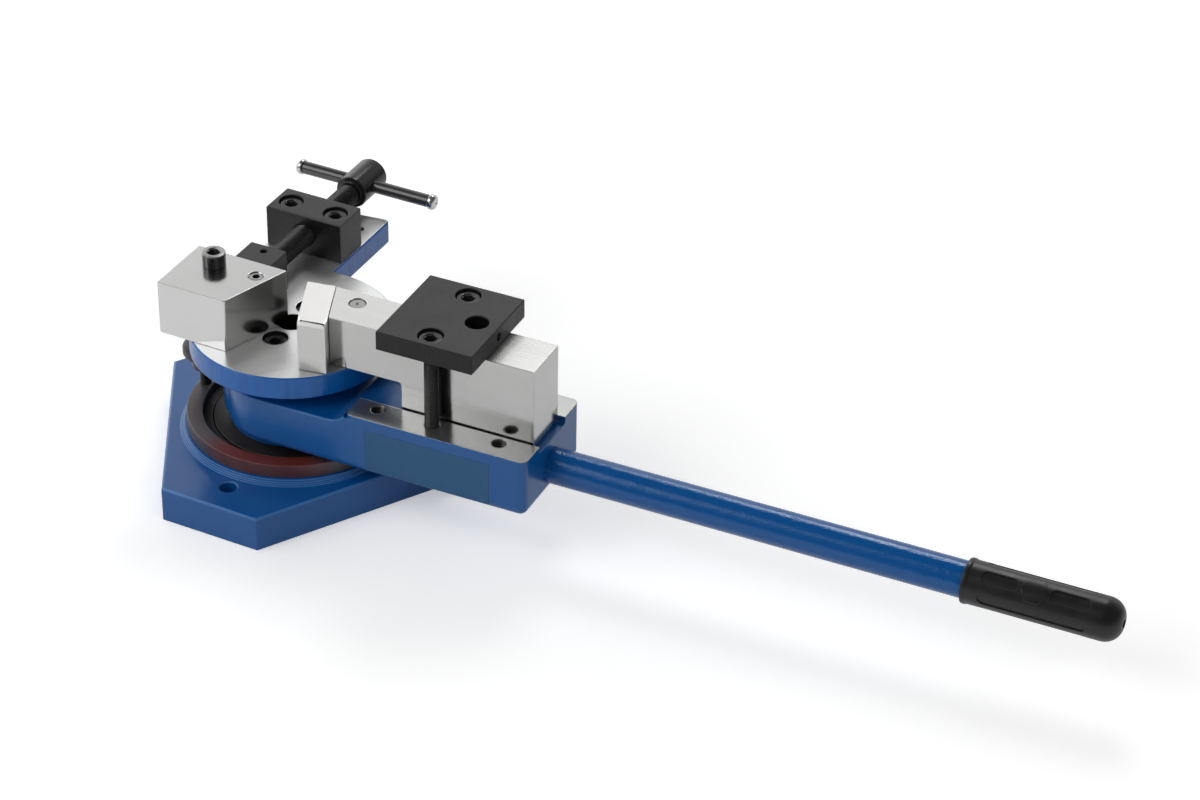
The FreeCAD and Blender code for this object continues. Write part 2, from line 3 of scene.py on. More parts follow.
import logging
import math
from contextlib import contextmanager
from dataclasses import dataclass, field
from enum import Enum
from functools import partialmethod
from types import SimpleNamespace
from typing import Callable, Dict, Iterator, List, Optional, Sequence, Tuple, Union

import bmesh
import bpy
from mathutils import Matrix, Vector


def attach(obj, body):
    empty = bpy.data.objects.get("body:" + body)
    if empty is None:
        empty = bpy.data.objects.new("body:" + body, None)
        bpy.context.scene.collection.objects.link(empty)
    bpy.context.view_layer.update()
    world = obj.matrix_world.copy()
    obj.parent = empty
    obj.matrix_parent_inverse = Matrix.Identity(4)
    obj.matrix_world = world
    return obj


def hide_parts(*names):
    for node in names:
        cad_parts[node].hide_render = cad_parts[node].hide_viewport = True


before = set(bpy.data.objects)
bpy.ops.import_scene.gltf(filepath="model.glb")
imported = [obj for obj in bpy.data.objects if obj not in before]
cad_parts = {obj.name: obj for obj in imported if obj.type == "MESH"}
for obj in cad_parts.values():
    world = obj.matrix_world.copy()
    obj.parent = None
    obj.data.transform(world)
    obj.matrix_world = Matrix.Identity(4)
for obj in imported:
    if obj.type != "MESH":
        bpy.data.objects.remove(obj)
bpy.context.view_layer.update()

log = logging.getLogger("bench_bender")

# Sizes are in millimetres, and the modelling helpers turn them into metres. Shaders and the stage use metres.
MM = 0.001
MERGE = 0.002 * MM
SWING_AT_REST = math.radians(1.7)
ARM_LINE_Y = -16.5
TABLE_TOP_Z = 107.0
BLOCK_TOP_Z = 137.0
CLAMP_SCREW_X = -38.2
CLAMP_SCREW_Z = 122.0
HEAD_SINK = 1.7
THROUGH = 2.0

Piece = bpy.types.Object
Point = Tuple[float, float, float]
Place = Tuple[float, float]
Profile = Sequence[Place]
Socket = bpy.types.NodeSocket
Tree = bpy.types.NodeTree
Material = bpy.types.Material
Looks = Dict[str, Material]
Ends = Callable[[Vector, Vector], bool]


class Axis(Enum):
    """The direction that a turned or threaded piece points in."""

    UP = (0.0, 0.0, 1.0)
    DOWN = (0.0, 0.0, -1.0)
    ALONG_X = (1.0, 0.0, 0.0)
    AGAINST_X = (-1.0, 0.0, 0.0)
    ALONG_Y = (0.0, 1.0, 0.0)

    @property
    def vector(self) -> Vector:
        """The direction as a vector."""
        return Vector(self.value)

    @property
    def back(self) -> "Axis":
        """The opposite direction."""
        return Axis(tuple(-v if v else 0.0 for v in self.value))


class Body(Enum):
    """The bodies of the frame that pieces ride on."""

    STAND = "stand"
    LEVER = "lever"
    SLIDE = "slide"
    PUSHER = "pusher"
    SCREW = "screw"
    TOMMY = "tommy"
    RING = "ring"
    KNOB = "knob"


class Slot(Enum):
    """The record's material slots."""

    BLUE_PAINT = "blue_paint"
    MACHINED_STEEL = "machined_steel"
    GROUND_STEEL = "ground_steel"
    BLACK_STEEL = "black_steel"
    DARK_IRON = "dark_iron"
    BLACK_PLASTIC = "black_plastic"
    GRIP_VINYL = "grip_vinyl"
    BRIGHT_CAP = "bright_cap"


# Modelling

def polar(radius: float, degrees: float) -> Place:
    """The plan place at a radius and an angle from the table's axis."""
    return radius * math.cos(math.radians(degrees)), radius * math.sin(math.radians(degrees))


def metres(sizes: Sequence[float]) -> Vector:
    """Millimetres as a vector in metres."""
    return Vector([size * MM for size in sizes])


def alone(piece: Piece) -> None:
    """Make a piece the only selected and active one."""
    bpy.ops.object.select_all(action="DESELECT")
    piece.select_set(True)
    bpy.context.view_layer.objects.active = piece


@contextmanager
def editing(piece: Piece, mode: str = "VERT", everything: bool = True) -> Iterator[bmesh.types.BMesh]:
    """Open a piece in edit mode.

    Args:
        piece: the mesh object to edit.
        mode: VERT, EDGE or FACE.
        everything: whether all of it is selected at first, or nothing.

    Returns:
        The piece's mesh, to select in.
    """
    alone(piece)
    bpy.ops.object.mode_set(mode="EDIT")
    bpy.ops.mesh.select_mode(type=mode)
    bpy.ops.mesh.select_all(action="SELECT" if everything else "DESELECT")
    try:
        yield bmesh.from_edit_mesh(piece.data)
    finally:
        bpy.ops.object.mode_set(mode="OBJECT")


def round_edges(piece: Piece, width: float, segments: int, test: Ends, clamp: bool = False) -> None:
    """Round the edges whose two ends pass a test.

    Args:
        piece: the mesh object to edit.
        width: the rounding's width.
        segments: faces across the rounding.
        test: says whether an edge with these ends is wanted.
        clamp: whether roundings that would overlap are made narrower.
    """
    with editing(piece, "EDGE", everything=False) as mesh:
        for edge in mesh.edges:
            if test(edge.verts[0].co / MM, edge.verts[1].co / MM):
                edge.select = True
        mesh.select_flush_mode()
        bpy.ops.mesh.bevel(offset=width * MM, segments=segments, affect="EDGES", clamp_overlap=clamp)


def settle(piece: Piece, turn: Point = (0.0, 0.0, 0.0), shift: Sequence[float] = (0.0, 0.0, 0.0)) -> Piece:
    """Turn and shift a piece, in metres, from where it was drawn, and put that into its mesh."""
    piece.rotation_euler = turn
    piece.location = shift
    alone(piece)
    bpy.ops.object.transform_apply(location=True, rotation=True, scale=True)
    return piece


def aimed(piece: Piece, axis: Axis, origin: Vector) -> Piece:
    """Settle a piece that was drawn along +Z so that it points along an axis from an origin in metres."""
    return settle(piece, axis.vector.to_track_quat("Z", "Y").to_euler(), origin)


def take(name: str) -> Piece:
    """Name the primitive that was just added and return it."""
    piece = bpy.context.active_object
    piece.name = piece.data.name = name
    return piece


def block(name: str, low: Point, high: Point) -> Piece:
    """Add a block between two corners."""
    bpy.ops.object.select_all(action="DESELECT")
    bpy.ops.mesh.primitive_cube_add(size=1.0)
    piece = take(name)
    piece.scale = [(b - a) * MM for a, b in zip(low, high)]
    return settle(piece, shift=metres([(a + b) / 2 for a, b in zip(low, high)]))


def drum(name: str, radius: float, start: Point, axis: Axis, length: float, sides: int = 64) -> Piece:
    """Add a round bar from a start point along an axis."""
    bpy.ops.object.select_all(action="DESELECT")
    bpy.ops.mesh.primitive_cylinder_add(vertices=sides, radius=radius * MM, depth=length * MM)
    return aimed(take(name), axis, metres(start) + axis.vector * (length * MM / 2))


def plate_from(name: str, plan: Profile, low: float, high: float) -> Piece:
    """Add a flat plate with a drawn outline, extruded upwards.

    Args:
        name: the piece's name.
        plan: the outline's corners, anticlockwise.
        low: height of the underside.
        high: height of the top.

    Returns:
        The new piece.
    """
    bpy.ops.object.select_all(action="DESELECT")
    bpy.ops.mesh.primitive_circle_add(vertices=len(plan), radius=1.0, fill_type="NGON")
    piece = take(name)
    with editing(piece) as mesh:
        for vert, (x, y) in zip(mesh.faces[:][0].verts[:], plan):
            vert.co = metres((x, y, low))
        bpy.ops.mesh.extrude_region_move(TRANSFORM_OT_translate={"value": (0.0, 0.0, (high - low) * MM)})
        bpy.ops.mesh.select_all(action="SELECT")
        bpy.ops.mesh.normals_make_consistent(inside=False)
    return settle(piece)


def drawn_line(name: str, line: Profile) -> Piece:
    """Draw a line through (radius, height) points by extruding a single vertex."""
    bpy.ops.object.select_all(action="DESELECT")
    bpy.ops.mesh.primitive_plane_add(size=0.001)
    piece = take(name)
    points = [metres((r, 0.0, d)) for r, d in line]
    with editing(piece):
        bpy.ops.mesh.merge(type="CENTER")
        bpy.ops.transform.translate(value=points[0])
        for here, there in zip(points, points[1:]):
            bpy.ops.mesh.extrude_region_move(TRANSFORM_OT_translate={"value": there - here})
    return piece


def turned(name: str, profile: Profile, origin: Point, axis: Axis, steps: int = 64) -> Piece:
    """Turn a profile round an axis, as on a lathe.

    Args:
        name: the piece's name.
        profile: (radius, distance along the axis) pairs. It starts and ends on the axis, or at one point.
        origin: where distance 0 lies.
        axis: the turning axis.
        steps: faces round the piece.

    Returns:
        A closed piece.
    """
    piece = drawn_line(name, profile)
    with editing(piece):
        bpy.ops.mesh.spin(steps=steps, angle=math.tau, center=(0, 0, 0), axis=(0, 0, 1))
        bpy.ops.mesh.select_all(action="SELECT")
        bpy.ops.mesh.remove_doubles(threshold=MERGE)
        bpy.ops.mesh.normals_make_consistent(inside=False)
        if bmesh.from_edit_mesh(piece.data).calc_volume(signed=True) < 0.0:
            bpy.ops.mesh.flip_normals()
    return aimed(piece, axis, metres(origin))


def threaded(name: str, radius: float, pitch: float, origin: Point, axis: Axis, length: float,
             steps: int = 40, bore: bool = False) -> Piece:
    """Cut a real helical thread along an axis.

    Args:
        name: the piece's name.
        radius: the thread's outer radius, or the hole's radius for a bore.
        pitch: the advance in one turn.
        origin: where the thread starts.
        axis: the direction that it runs in.
        length: the threaded length.
        steps: faces round each turn.
        bore: whether the crests point inwards, as in a tapped hole.

    Returns:
        The threaded piece: a closed rod, or a closed sleeve for a bore.
    """
    depth = pitch * 0.54
    top, root = (radius - depth, radius + 0.03) if bore else (radius, radius - depth)
    piece = drawn_line(name, [(root, 0.0), (top, pitch * 0.4), (top, pitch * 0.55), (root, pitch * 0.95),
                              (root, pitch)])
    run_modifier(piece, "SCREW", axis="Z", angle=math.tau, screw_offset=pitch * MM,
                 iterations=max(1, round(length / pitch) - 1), steps=steps, render_steps=steps,
                 use_merge_vertices=True, merge_threshold=MERGE)
    with editing(piece, "EDGE"):
        bpy.ops.mesh.remove_doubles(threshold=MERGE)
        if not bore:
            bpy.ops.mesh.fill_holes(sides=0)
        bpy.ops.mesh.normals_make_consistent(inside=bore)
    if bore:
        run_modifier(piece, "SOLIDIFY", thickness=0.4 * MM, offset=-1.0, use_rim=True)
    return aimed(piece, axis, metres(origin))


def run_modifier(piece: Piece, kind: str, **settings: object) -> None:
    """Add a modifier with these settings and apply it."""
    modifier = piece.modifiers.new(kind.lower(), kind)
    for key, value in settings.items():
        setattr(modifier, key, value)
    alone(piece)
    bpy.ops.object.modifier_apply(modifier=modifier.name)


def cut(piece: Piece, *tools: Piece, operation: str = "DIFFERENCE") -> Piece:
    """Cut each tool out of a piece, or combine them in another way, and throw the tool away."""
    for tool in tools:
        run_modifier(piece, "BOOLEAN", operation=operation, solver="EXACT", object=tool)
        bpy.data.objects.remove(tool)
    return piece


def gather(piece: Piece, *others: Piece) -> Piece:
    """Join other meshes into a piece as shells of their own."""
    alone(piece)
    for other in others:
        other.select_set(True)
    bpy.ops.object.join()
    return piece


def soften(piece: Piece, width: float, segments: int = 2, angle: float = 35.0) -> Piece:
    """Round every edge that is sharper than an angle in degrees."""
    run_modifier(piece, "BEVEL", width=width * MM, segments=segments, limit_method="ANGLE",
                 angle_limit=math.radians(angle), use_clamp_overlap=True)
    return piece


def clean(piece: Piece) -> None:
    """Merge doubled corners and drop the slivers and loose bits that cutting leaves."""
    with editing(piece, everything=False):
        bpy.ops.mesh.select_face_by_sides(number=4, type="GREATER", extend=False)
        bpy.ops.mesh.quads_convert_to_tris(quad_method="BEAUTY", ngon_method="BEAUTY")
        bpy.ops.mesh.select_all(action="SELECT")
        bpy.ops.mesh.remove_doubles(threshold=MERGE)
        bpy.ops.mesh.dissolve_degenerate(threshold=MERGE)
        bpy.ops.mesh.delete_loose()


def hand_over(piece: Piece, finish: Material, body: Body, stands_for: str = "",
              smooth: float = 32.0) -> Piece:
    """Turn a lever's piece, drawn along +X, to its angle at rest, then shade, dress and register it.

    Args:
        piece: the finished mesh object.
        finish: its material.
        body: the body that it rides on.
        stands_for: the CAD node that it replaces, if any.
        smooth: edges flatter than this many degrees are shaded smooth.

    Returns:
        The piece.
    """
    settle(piece, (0.0, 0.0, SWING_AT_REST if body in (Body.LEVER, Body.SLIDE) else 0.0))
    clean(piece)
    alone(piece)
    bpy.ops.object.shade_smooth_by_angle(angle=math.radians(smooth))
    run_modifier(piece, "WEIGHTED_NORMAL", mode="FACE_AREA", weight=50, keep_sharp=True)
    piece.data.materials.clear()
    piece.data.materials.append(finish)
    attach(piece, body.value)
    if stands_for:
        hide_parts(stands_for)
    log.info("%s: %d faces on %s", piece.name, len(piece.data.polygons), body.value)
    return piece


def dress_node(node: str, finish: Material) -> None:
    """Give a CAD node that keeps its own shape a finish."""
    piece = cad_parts[node]
    piece.data.materials.clear()
    piece.data.materials.append(finish)


def dress_faces(piece: Piece, finish: Material, test: Ends) -> None:
    """Give the faces whose centre and normal pass a test a second finish."""
    piece.data.materials.append(finish)
    for face in piece.data.polygons:
        if test(face.center / MM, face.normal):
            face.material_index = 1


# Shader building

class Wire:
    """A node's output, with arithmetic that adds Math nodes."""

    def __init__(self, sheet: "NodeSheet", socket: Socket) -> None:
        """Note the sheet that the output lies on."""
        self.sheet = sheet
        self.socket = socket

    def combine(self, operation: str, other: "Feed" = 0.0) -> "Wire":
        """Combine the output with another value."""
        return self.sheet.math(operation, self, other)

    __add__ = partialmethod(combine, "ADD")
    __sub__ = partialmethod(combine, "SUBTRACT")
    __mul__ = partialmethod(combine, "MULTIPLY")
    __lt__ = partialmethod(combine, "LESS_THAN")
    __gt__ = partialmethod(combine, "GREATER_THAN")
    __or__ = partialmethod(combine, "MAXIMUM")
    __abs__ = partialmethod(combine, "ABSOLUTE")


Feed = Union[float, Sequence[float], Wire]


class NodeSheet:
    """A node tree that is filled in by short calls."""

    def __init__(self, tree: Tree) -> None:
        """Start on an empty tree."""
        self.tree = tree
        tree.nodes.clear()

    def node(self, kind: str, feeds: Optional[Dict[Union[str, int], Feed]] = None,
             **settings: object) -> bpy.types.Node:
        """Add a node.

        Args:
            kind: the node's type without the ShaderNode prefix.
            feeds: input name or number to a value or an output.
            settings: the node's own properties.

        Returns:
            The node.
        """
        node = self.tree.nodes.new(kind if kind.startswith("Node") else "ShaderNode" + kind)
        for key, value in settings.items():
            setattr(node, key, value)
        for key, value in (feeds or {}).items():
            self.feed(node.inputs[key], value)
        return node

    def add(self, kind: str, feeds: Optional[Dict[Union[str, int], Feed]] = None, out: Union[str, int] = 0,
            **settings: object) -> Wire:
        """Add a node and return one of its outputs."""
        return Wire(self, self.node(kind, feeds, **settings).outputs[out])

    def feed(self, socket: Socket, value: Feed) -> None:
        """Give an input a constant or link it to an output."""
        if isinstance(value, Wire):
            self.tree.links.new(value.socket, socket)
        elif socket.type == "RGBA" and len(value) == 3:
            socket.default_value = (*value, 1.0)
        else:
            socket.default_value = value

    def math(self, operation: str, a: Feed, b: Feed = 0.0) -> Wire:
        """Combine two values."""
        return self.add("Math", {0: a, 1: b}, operation=operation)

    def remap(self, value: Feed, low: float, high: float, to_low: float = 0.0, to_high: float = 1.0) -> Wire:
        """Stretch a value from one range to another, clamped."""
        return self.add("MapRange", {0: value, 1: low, 2: high, 3: to_low, 4: to_high}, clamp=True)

    def colour(self, factor: Feed, a: Feed, b: Feed, blend: str = "MIX") -> Wire:
        """Mix two colours."""
        return self.add("Mix", {0: factor, 6: a, 7: b}, 2, data_type="RGBA", blend_type=blend)

    def value(self, factor: Feed, a: Feed, b: Feed) -> Wire:
        """Mix two values."""
        return self.add("Mix", {0: factor, 2: a, 3: b}, data_type="FLOAT")

    def noise(self, place: Wire, scale: Feed, detail: float = 2.0, rough: float = 0.5) -> Wire:
        """Noise at a place, from 0 to 1."""
        return self.add("TexNoise", {"Vector": place, "Scale": scale, "Detail": detail, "Roughness": rough})

    def stretched(self, place: Wire, scale: Point = (1.0, 1.0, 1.0), turn: Point = (0.0, 0.0, 0.0)) -> Wire:
        """A place with its axes turned and scaled, for grain that runs one way."""
        return self.add("Mapping", {"Vector": self.add("Mapping", {"Vector": place, "Rotation": turn}),
                                    "Scale": scale})

    def parts(self, vector: Wire) -> List[Wire]:
        """A vector's three parts."""
        return [Wire(self, socket) for socket in self.node("SeparateXYZ", {0: vector}).outputs]

    def dot(self, a: Wire, b: Feed) -> Wire:
        """How far a vector points another one's way."""
        return self.add("VectorMath", {0: a, 1: b}, "Value", operation="DOT_PRODUCT")

    def tilt(self) -> Wire:
        """The upward share of the true normal."""
        return self.parts(self.add("NewGeometry", out="True Normal"))[2]

    def reach(self, place: Wire) -> Wire:
        """The level distance from the Z axis."""
        return self.add("VectorMath", {0: self.stretched(place, (1.0, 1.0, 0.0))}, "Value",
                        operation="LENGTH")

    def use(self, tree: Tree, **feeds: Feed) -> SimpleNamespace:
        """Place a node group and return its outputs by their names in small letters."""
        node = self.node("Group", node_tree=tree)
        for key, value in feeds.items():
            self.feed(node.inputs[key], value)
        return SimpleNamespace(**{socket.name.lower(): Wire(self, socket) for socket in node.outputs})

    def give(self, **results: Wire) -> Tree:
        """Add a group's outputs and return its tree."""
        for key, wire in results.items():
            kind = "Vector" if wire.socket.type == "VECTOR" else "Float"
            self.tree.interface.new_socket(name=key, in_out="OUTPUT", socket_type="NodeSocket" + kind)
        self.node("NodeGroupOutput", dict(results))
        return self.tree


def new_group(name: str, *inputs: str) -> List:
    """Start a shader node group.

    Args:
        name: the group's name.
        inputs: the names of its values. A place comes before them.

    Returns:
        The sheet, the place and each value.
    """
    tree = bpy.data.node_groups.new(name, "ShaderNodeTree")
    for key in ("Place", *inputs):
        kind = "Float" if key in inputs else "Vector"
        tree.interface.new_socket(name=key, in_out="INPUT", socket_type="NodeSocket" + kind)
    sheet = NodeSheet(tree)
    given = sheet.node("NodeGroupInput").outputs
    return [sheet] + [Wire(sheet, given[key]) for key in ("Place", *inputs)]


def edge_wear_and_highlight() -> Tree:
    """A mask of the edges, for worn edges and for painted edge highlights, and the softened normal there."""
    sheet, place, radius, broken = new_group("edge_wear_and_highlight", "Radius", "Break")
    soft = sheet.add("Bevel", {"Radius": radius}, samples=6)
    raw = sheet.remap(sheet.dot(soft, sheet.add("NewGeometry", out="Normal")), 0.995, 0.86)
    kept = sheet.remap(sheet.noise(place, 420.0, 4.0, 0.7), 0.35, 0.65)
    return sheet.give(Mask=sheet.value(broken, raw, raw * kept), Normal=soft)


def casting_skin() -> Tree:
    """The lumpy skin of a painted casting: its height and its tone."""
    sheet, place, lumpy, peeled = new_group("casting_skin", "Lumps", "Peel")
    lumps = sheet.noise(place, 110.0, 3.0, 0.55) * lumpy
    peel = sheet.noise(place, 700.0, 2.0, 0.6) * peeled
    pits = sheet.add("TexVoronoi", {"Vector": place, "Scale": 330.0}, feature="DISTANCE_TO_EDGE")
    pits = sheet.remap(pits, 0.0, 0.09, -0.25, 0.0) * sheet.remap(sheet.noise(place, 60.0), 0.55, 0.72)
    return sheet.give(Height=lumps + peel * 0.35 + pits, Tone=sheet.noise(place, 24.0, 4.0, 0.6))


def tool_grain() -> Tree:
    """Fine cutter or grinding lines along the place's X axis: a height and a tone."""
    sheet, place, fineness = new_group("tool_grain", "Fine")
    fine = sheet.noise(sheet.stretched(place, (18.0, 2600.0, 2600.0)), 1.0, 3.0, 0.7)
    wide = sheet.noise(sheet.stretched(place, (9.0, 260.0, 260.0)), 1.0, 2.0, 0.5)
    both = sheet.value(0.45, fine, wide)
    return sheet.give(Height=both * fineness, Tone=both)


def oil_and_dust() -> Tree:
    """Soft blotches, as of oil and handling, and rare tiny specks."""
    sheet, place, size = new_group("oil_and_dust", "Size")
    blotch = sheet.remap(sheet.noise(place, size, 5.0, 0.62), 0.3, 0.7)
    return sheet.give(Blotch=blotch, Speck=sheet.remap(sheet.noise(place, 1500.0, 1.0, 0.4), 0.68, 0.76))


@dataclass(frozen=True)
class Effects:
    """The node groups that several finishes share, each built once."""

    edge: Tree = field(default_factory=edge_wear_and_highlight)
    skin: Tree = field(default_factory=casting_skin)
    grain: Tree = field(default_factory=tool_grain)
    soil: Tree = field(default_factory=oil_and_dust)


def tinted(colour: Point, share: float) -> Point:
    """A colour at a share of its strength."""
    return tuple(c * share for c in colour)


@dataclass(frozen=True)
class Finish:
    """A finish that builds one material."""

    name: str

    def draw(self, sheet: NodeSheet, effects: Effects, place: Wire) -> Dict[str, Feed]:
        """Draw the finish.

        Args:
            sheet: the material's sheet.
            effects: the shared node groups.
            place: the object coordinates.

        Returns:
            What to feed the Principled shader.
        """
        raise NotImplementedError

    def build(self, effects: Effects) -> Material:
        """Build the material."""
        material = bpy.data.materials.new(self.name)
        material.use_nodes = True
        sheet = NodeSheet(material.node_tree)
        shader = sheet.node("BsdfPrincipled")
        sheet.node("OutputMaterial", {"Surface": Wire(sheet, shader.outputs[0])})
        for key, value in self.draw(sheet, effects, sheet.add("TexCoord", out="Object")).items():
            sheet.feed(shader.inputs[key], value)
        return material


def bump(sheet: NodeSheet, strength: float, distance: float, height: Wire, normal: Wire) -> Wire:
    """A normal that rises and falls with a height, on top of the softened edges."""
    return sheet.add("Bump", {"Strength": strength, "Distance": distance, "Height": height, "Normal": normal})


@dataclass(frozen=True)
class CastPaint(Finish):
    """Blue paint over a casting, with the machined faces and bores that the paint leaves bare."""

    colour: Point = (0.0014, 0.084, 0.305)
    deep: Point = (0.0009, 0.074, 0.275)
    bare_above: float = 0.0
    bare_below: float = 0.0
    core_r: float = 0.0
    channel: bool = False
    lumps: float = 1.0
    peel: float = 1.0
    strength: float = 0.10
    roughness: float = 0.20
    grain_turn: float = 0.0
    bare_colour: Point = (0.70, 0.70, 0.695)
    bare_roughness: float = 0.22
    bare_specks: float = 0.75
    bare_metal: float = 1.0
    bare_bump: float = 0.25
    bare_right: float = 0.0
    gloss: float = 0.5
    # Share of the painted highlight on the rounded top edges.
    painted_edge_highlight: float = 0.0
    core_colour: Point = (0.030, 0.024, 0.021)
    streaks: float = 0.0

    def bare_mask(self, sheet: NodeSheet, place: Wire, tilt: Wire) -> Optional[Wire]:
        """Where the metal is bare: the machined top, a foot line and the channel's walls.

        Args:
            sheet: the material's sheet.
            place: object coordinates.
            tilt: the upward share of the normal.

        Returns:
            A mask, or None where the paint covers all.
        """
        mask = None
        left, _, height = sheet.parts(place)
        if self.bare_above > 0.0:
            mask = (height > self.bare_above) * (tilt > 0.93)
        if self.bare_right != 0.0:
            mask = mask * ((left < self.bare_right) | (sheet.reach(place) < 70.2 * MM))
        if self.bare_below > 0.0:
            mask = height < self.bare_below
        if self.channel:
            x, y, _ = sheet.parts(sheet.stretched(place, turn=(0.0, 0.0, -SWING_AT_REST)))
            wall = (abs(y - ARM_LINE_Y * MM) < 38 * MM) * (height > 83.4 * MM)
            mask = mask | (wall * (abs(x - 137 * MM) < 62 * MM) * (abs(tilt) < 0.5))
        return mask

    def draw(self, sheet: NodeSheet, effects: Effects, place: Wire) -> Dict[str, Feed]:
        """Draw the paint, its runs and a painted highlight on its edges, then the bare metal and the dark
        core.
        """
        skin = sheet.use(effects.skin, Place=place, Lumps=self.lumps, Peel=self.peel)
        edge = sheet.use(effects.edge, Place=place, Radius=0.0012, Break=0.5)
        soil = sheet.use(effects.soil, Place=place, Size=30.0)
        tilt = sheet.tilt()
        tone = sheet.colour(skin.tone, self.deep, self.colour)
        tone = sheet.colour(soil.blotch * 0.10, tone, (0.005, 0.085, 0.26))
        # Painted highlight: sharp edges and the rounded top edges are mixed towards a pale blue, standing in
        # for light caught on them.
        rounded = sheet.remap(tilt, 0.10, 0.30) * sheet.remap(tilt, 0.985, 0.93)
        tone = sheet.colour((edge.mask * 0.40) | (rounded * self.painted_edge_highlight), tone, (0.11, 0.27, 0.58))
        rough = sheet.remap(skin.tone, 0.2, 0.8, self.roughness - 0.04, self.roughness + 0.08)
        rise = skin.height
        feeds = {"IOR": 1.6, "Specular IOR Level": self.gloss, "Specular Tint": (0.80, 0.91, 1.0)}
        if self.streaks > 0.0:
            runs = sheet.remap(sheet.noise(sheet.stretched(place, (240.0, 240.0, 16.0)), 1.0, 3.0, 0.6),
                               0.52, 0.68)
            runs = runs * (sheet.remap(abs(tilt), 0.5, 0.3) * self.streaks)
            tone = sheet.colour(runs, tone, (0.0008, 0.045, 0.19))
            rise = rise - runs * 0.8
        bare = self.bare_mask(sheet, place, tilt)
        if bare is not None:
            grain = sheet.use(effects.grain, Place=sheet.stretched(place, turn=(0.0, 0.0, self.grain_turn)),
                              Fine=1.0)
            metal = sheet.colour(grain.tone, tinted(self.bare_colour, 0.86), self.bare_colour)
            metal = sheet.colour(soil.blotch * 0.30, metal, tinted(self.bare_colour, 0.80))
            metal = sheet.colour(soil.speck * self.bare_specks, metal, (0.12, 0.10, 0.08))
            tone = sheet.colour(bare, tone, metal)
            low, high = self.bare_roughness - 0.05, self.bare_roughness + 0.08
            rough = sheet.value(bare, rough, sheet.remap(grain.tone, 0.2, 0.8, low, high))
            rise = sheet.value(bare, rise, grain.height * self.bare_bump)
            feeds["Metallic"] = bare * self.bare_metal
        if self.core_r > 0.0:
            core = sheet.reach(place) < self.core_r
            if bare is not None:
                core = core * sheet.math("SUBTRACT", 1.0, bare)
            tone = sheet.colour(core, tone, sheet.colour(edge.mask * 0.5, self.core_colour,
                                                         (0.16, 0.14, 0.13)))
            rough = sheet.value(core, rough, sheet.remap(soil.blotch, 0.0, 1.0, 0.36, 0.50))
            feeds["Metallic"] = feeds["Metallic"] | (core * 0.5) if "Metallic" in feeds else core * 0.5
        normal = bump(sheet, self.strength, 0.0012, rise, edge.normal)
        return {**feeds, "Base Color": tone, "Roughness": rough, "Normal": normal}


@dataclass(frozen=True)
class ToolSteel(Finish):
    """Bare steel, milled or ground, with a direction to its grain."""

    colour: Point = (0.66, 0.655, 0.64)
    shade: float = 0.80
    roughness: float = 0.28
    spread: float = 0.10
    grain_turn: Point = (0.0, 0.0, 0.0)
    strength: float = 0.05
    blotch: float = 0.25
    specks: float = 0.3
    side_roughness: float = 0.0
    # How much darker the sides are, partly for their milled finish and partly as painted shade, and how much
    # darker the top is, as painted shade.
    side_milling_and_shade: float = 1.0
    painted_top_shade: float = 1.0
    metallic: float = 1.0
    edge_r: float = 0.5 * MM

    def draw(self, sheet: NodeSheet, effects: Effects, place: Wire) -> Dict[str, Feed]:
        """Draw the grain, the handling marks, the darker sides (partly milled tone, partly painted shade),
        the painted shade of the top, and the bright edges, which are partly worn metal and partly a painted
        highlight.
        """
        grain = sheet.use(effects.grain, Place=sheet.stretched(place, turn=self.grain_turn), Fine=1.0)
        edge = sheet.use(effects.edge, Place=place, Radius=self.edge_r, Break=0.25)
        soil = sheet.use(effects.soil, Place=place, Size=26.0)
        metal = sheet.colour(grain.tone, tinted(self.colour, self.shade), self.colour)
        metal = sheet.colour(soil.blotch * self.blotch, metal, tinted(self.colour, 0.78))
        metal = sheet.colour(soil.speck * self.specks, metal, (0.18, 0.16, 0.14))
        side = sheet.remap(abs(sheet.tilt()), 0.60, 0.35)
        # Painted shade: the sides are darkened partly for their milling and partly as painted shade; the top
        # is darkened as painted shade.
        if min(self.side_milling_and_shade, self.painted_top_shade) < 1.0:
            shade = sheet.colour(side, (self.painted_top_shade,) * 3, (self.side_milling_and_shade,) * 3)
            metal = sheet.colour(1.0, metal, shade, "MULTIPLY")
        # Bright edges: partly worn metal, partly a painted highlight.
        metal = sheet.colour(edge.mask * 0.6, metal, (0.86, 0.86, 0.85))
        low, high = self.roughness - self.spread / 2, self.roughness + self.spread
        rough = sheet.remap(grain.tone, 0.2, 0.8, low, high) + soil.blotch * 0.05
        if self.side_roughness > 0.0:
            rough = sheet.value(side, rough, soil.blotch * 0.05 + self.side_roughness)
        return {"Base Color": metal, "Metallic": self.metallic, "Roughness": rough,
                "Normal": bump(sheet, self.strength, 0.0006, grain.height, edge.normal)}


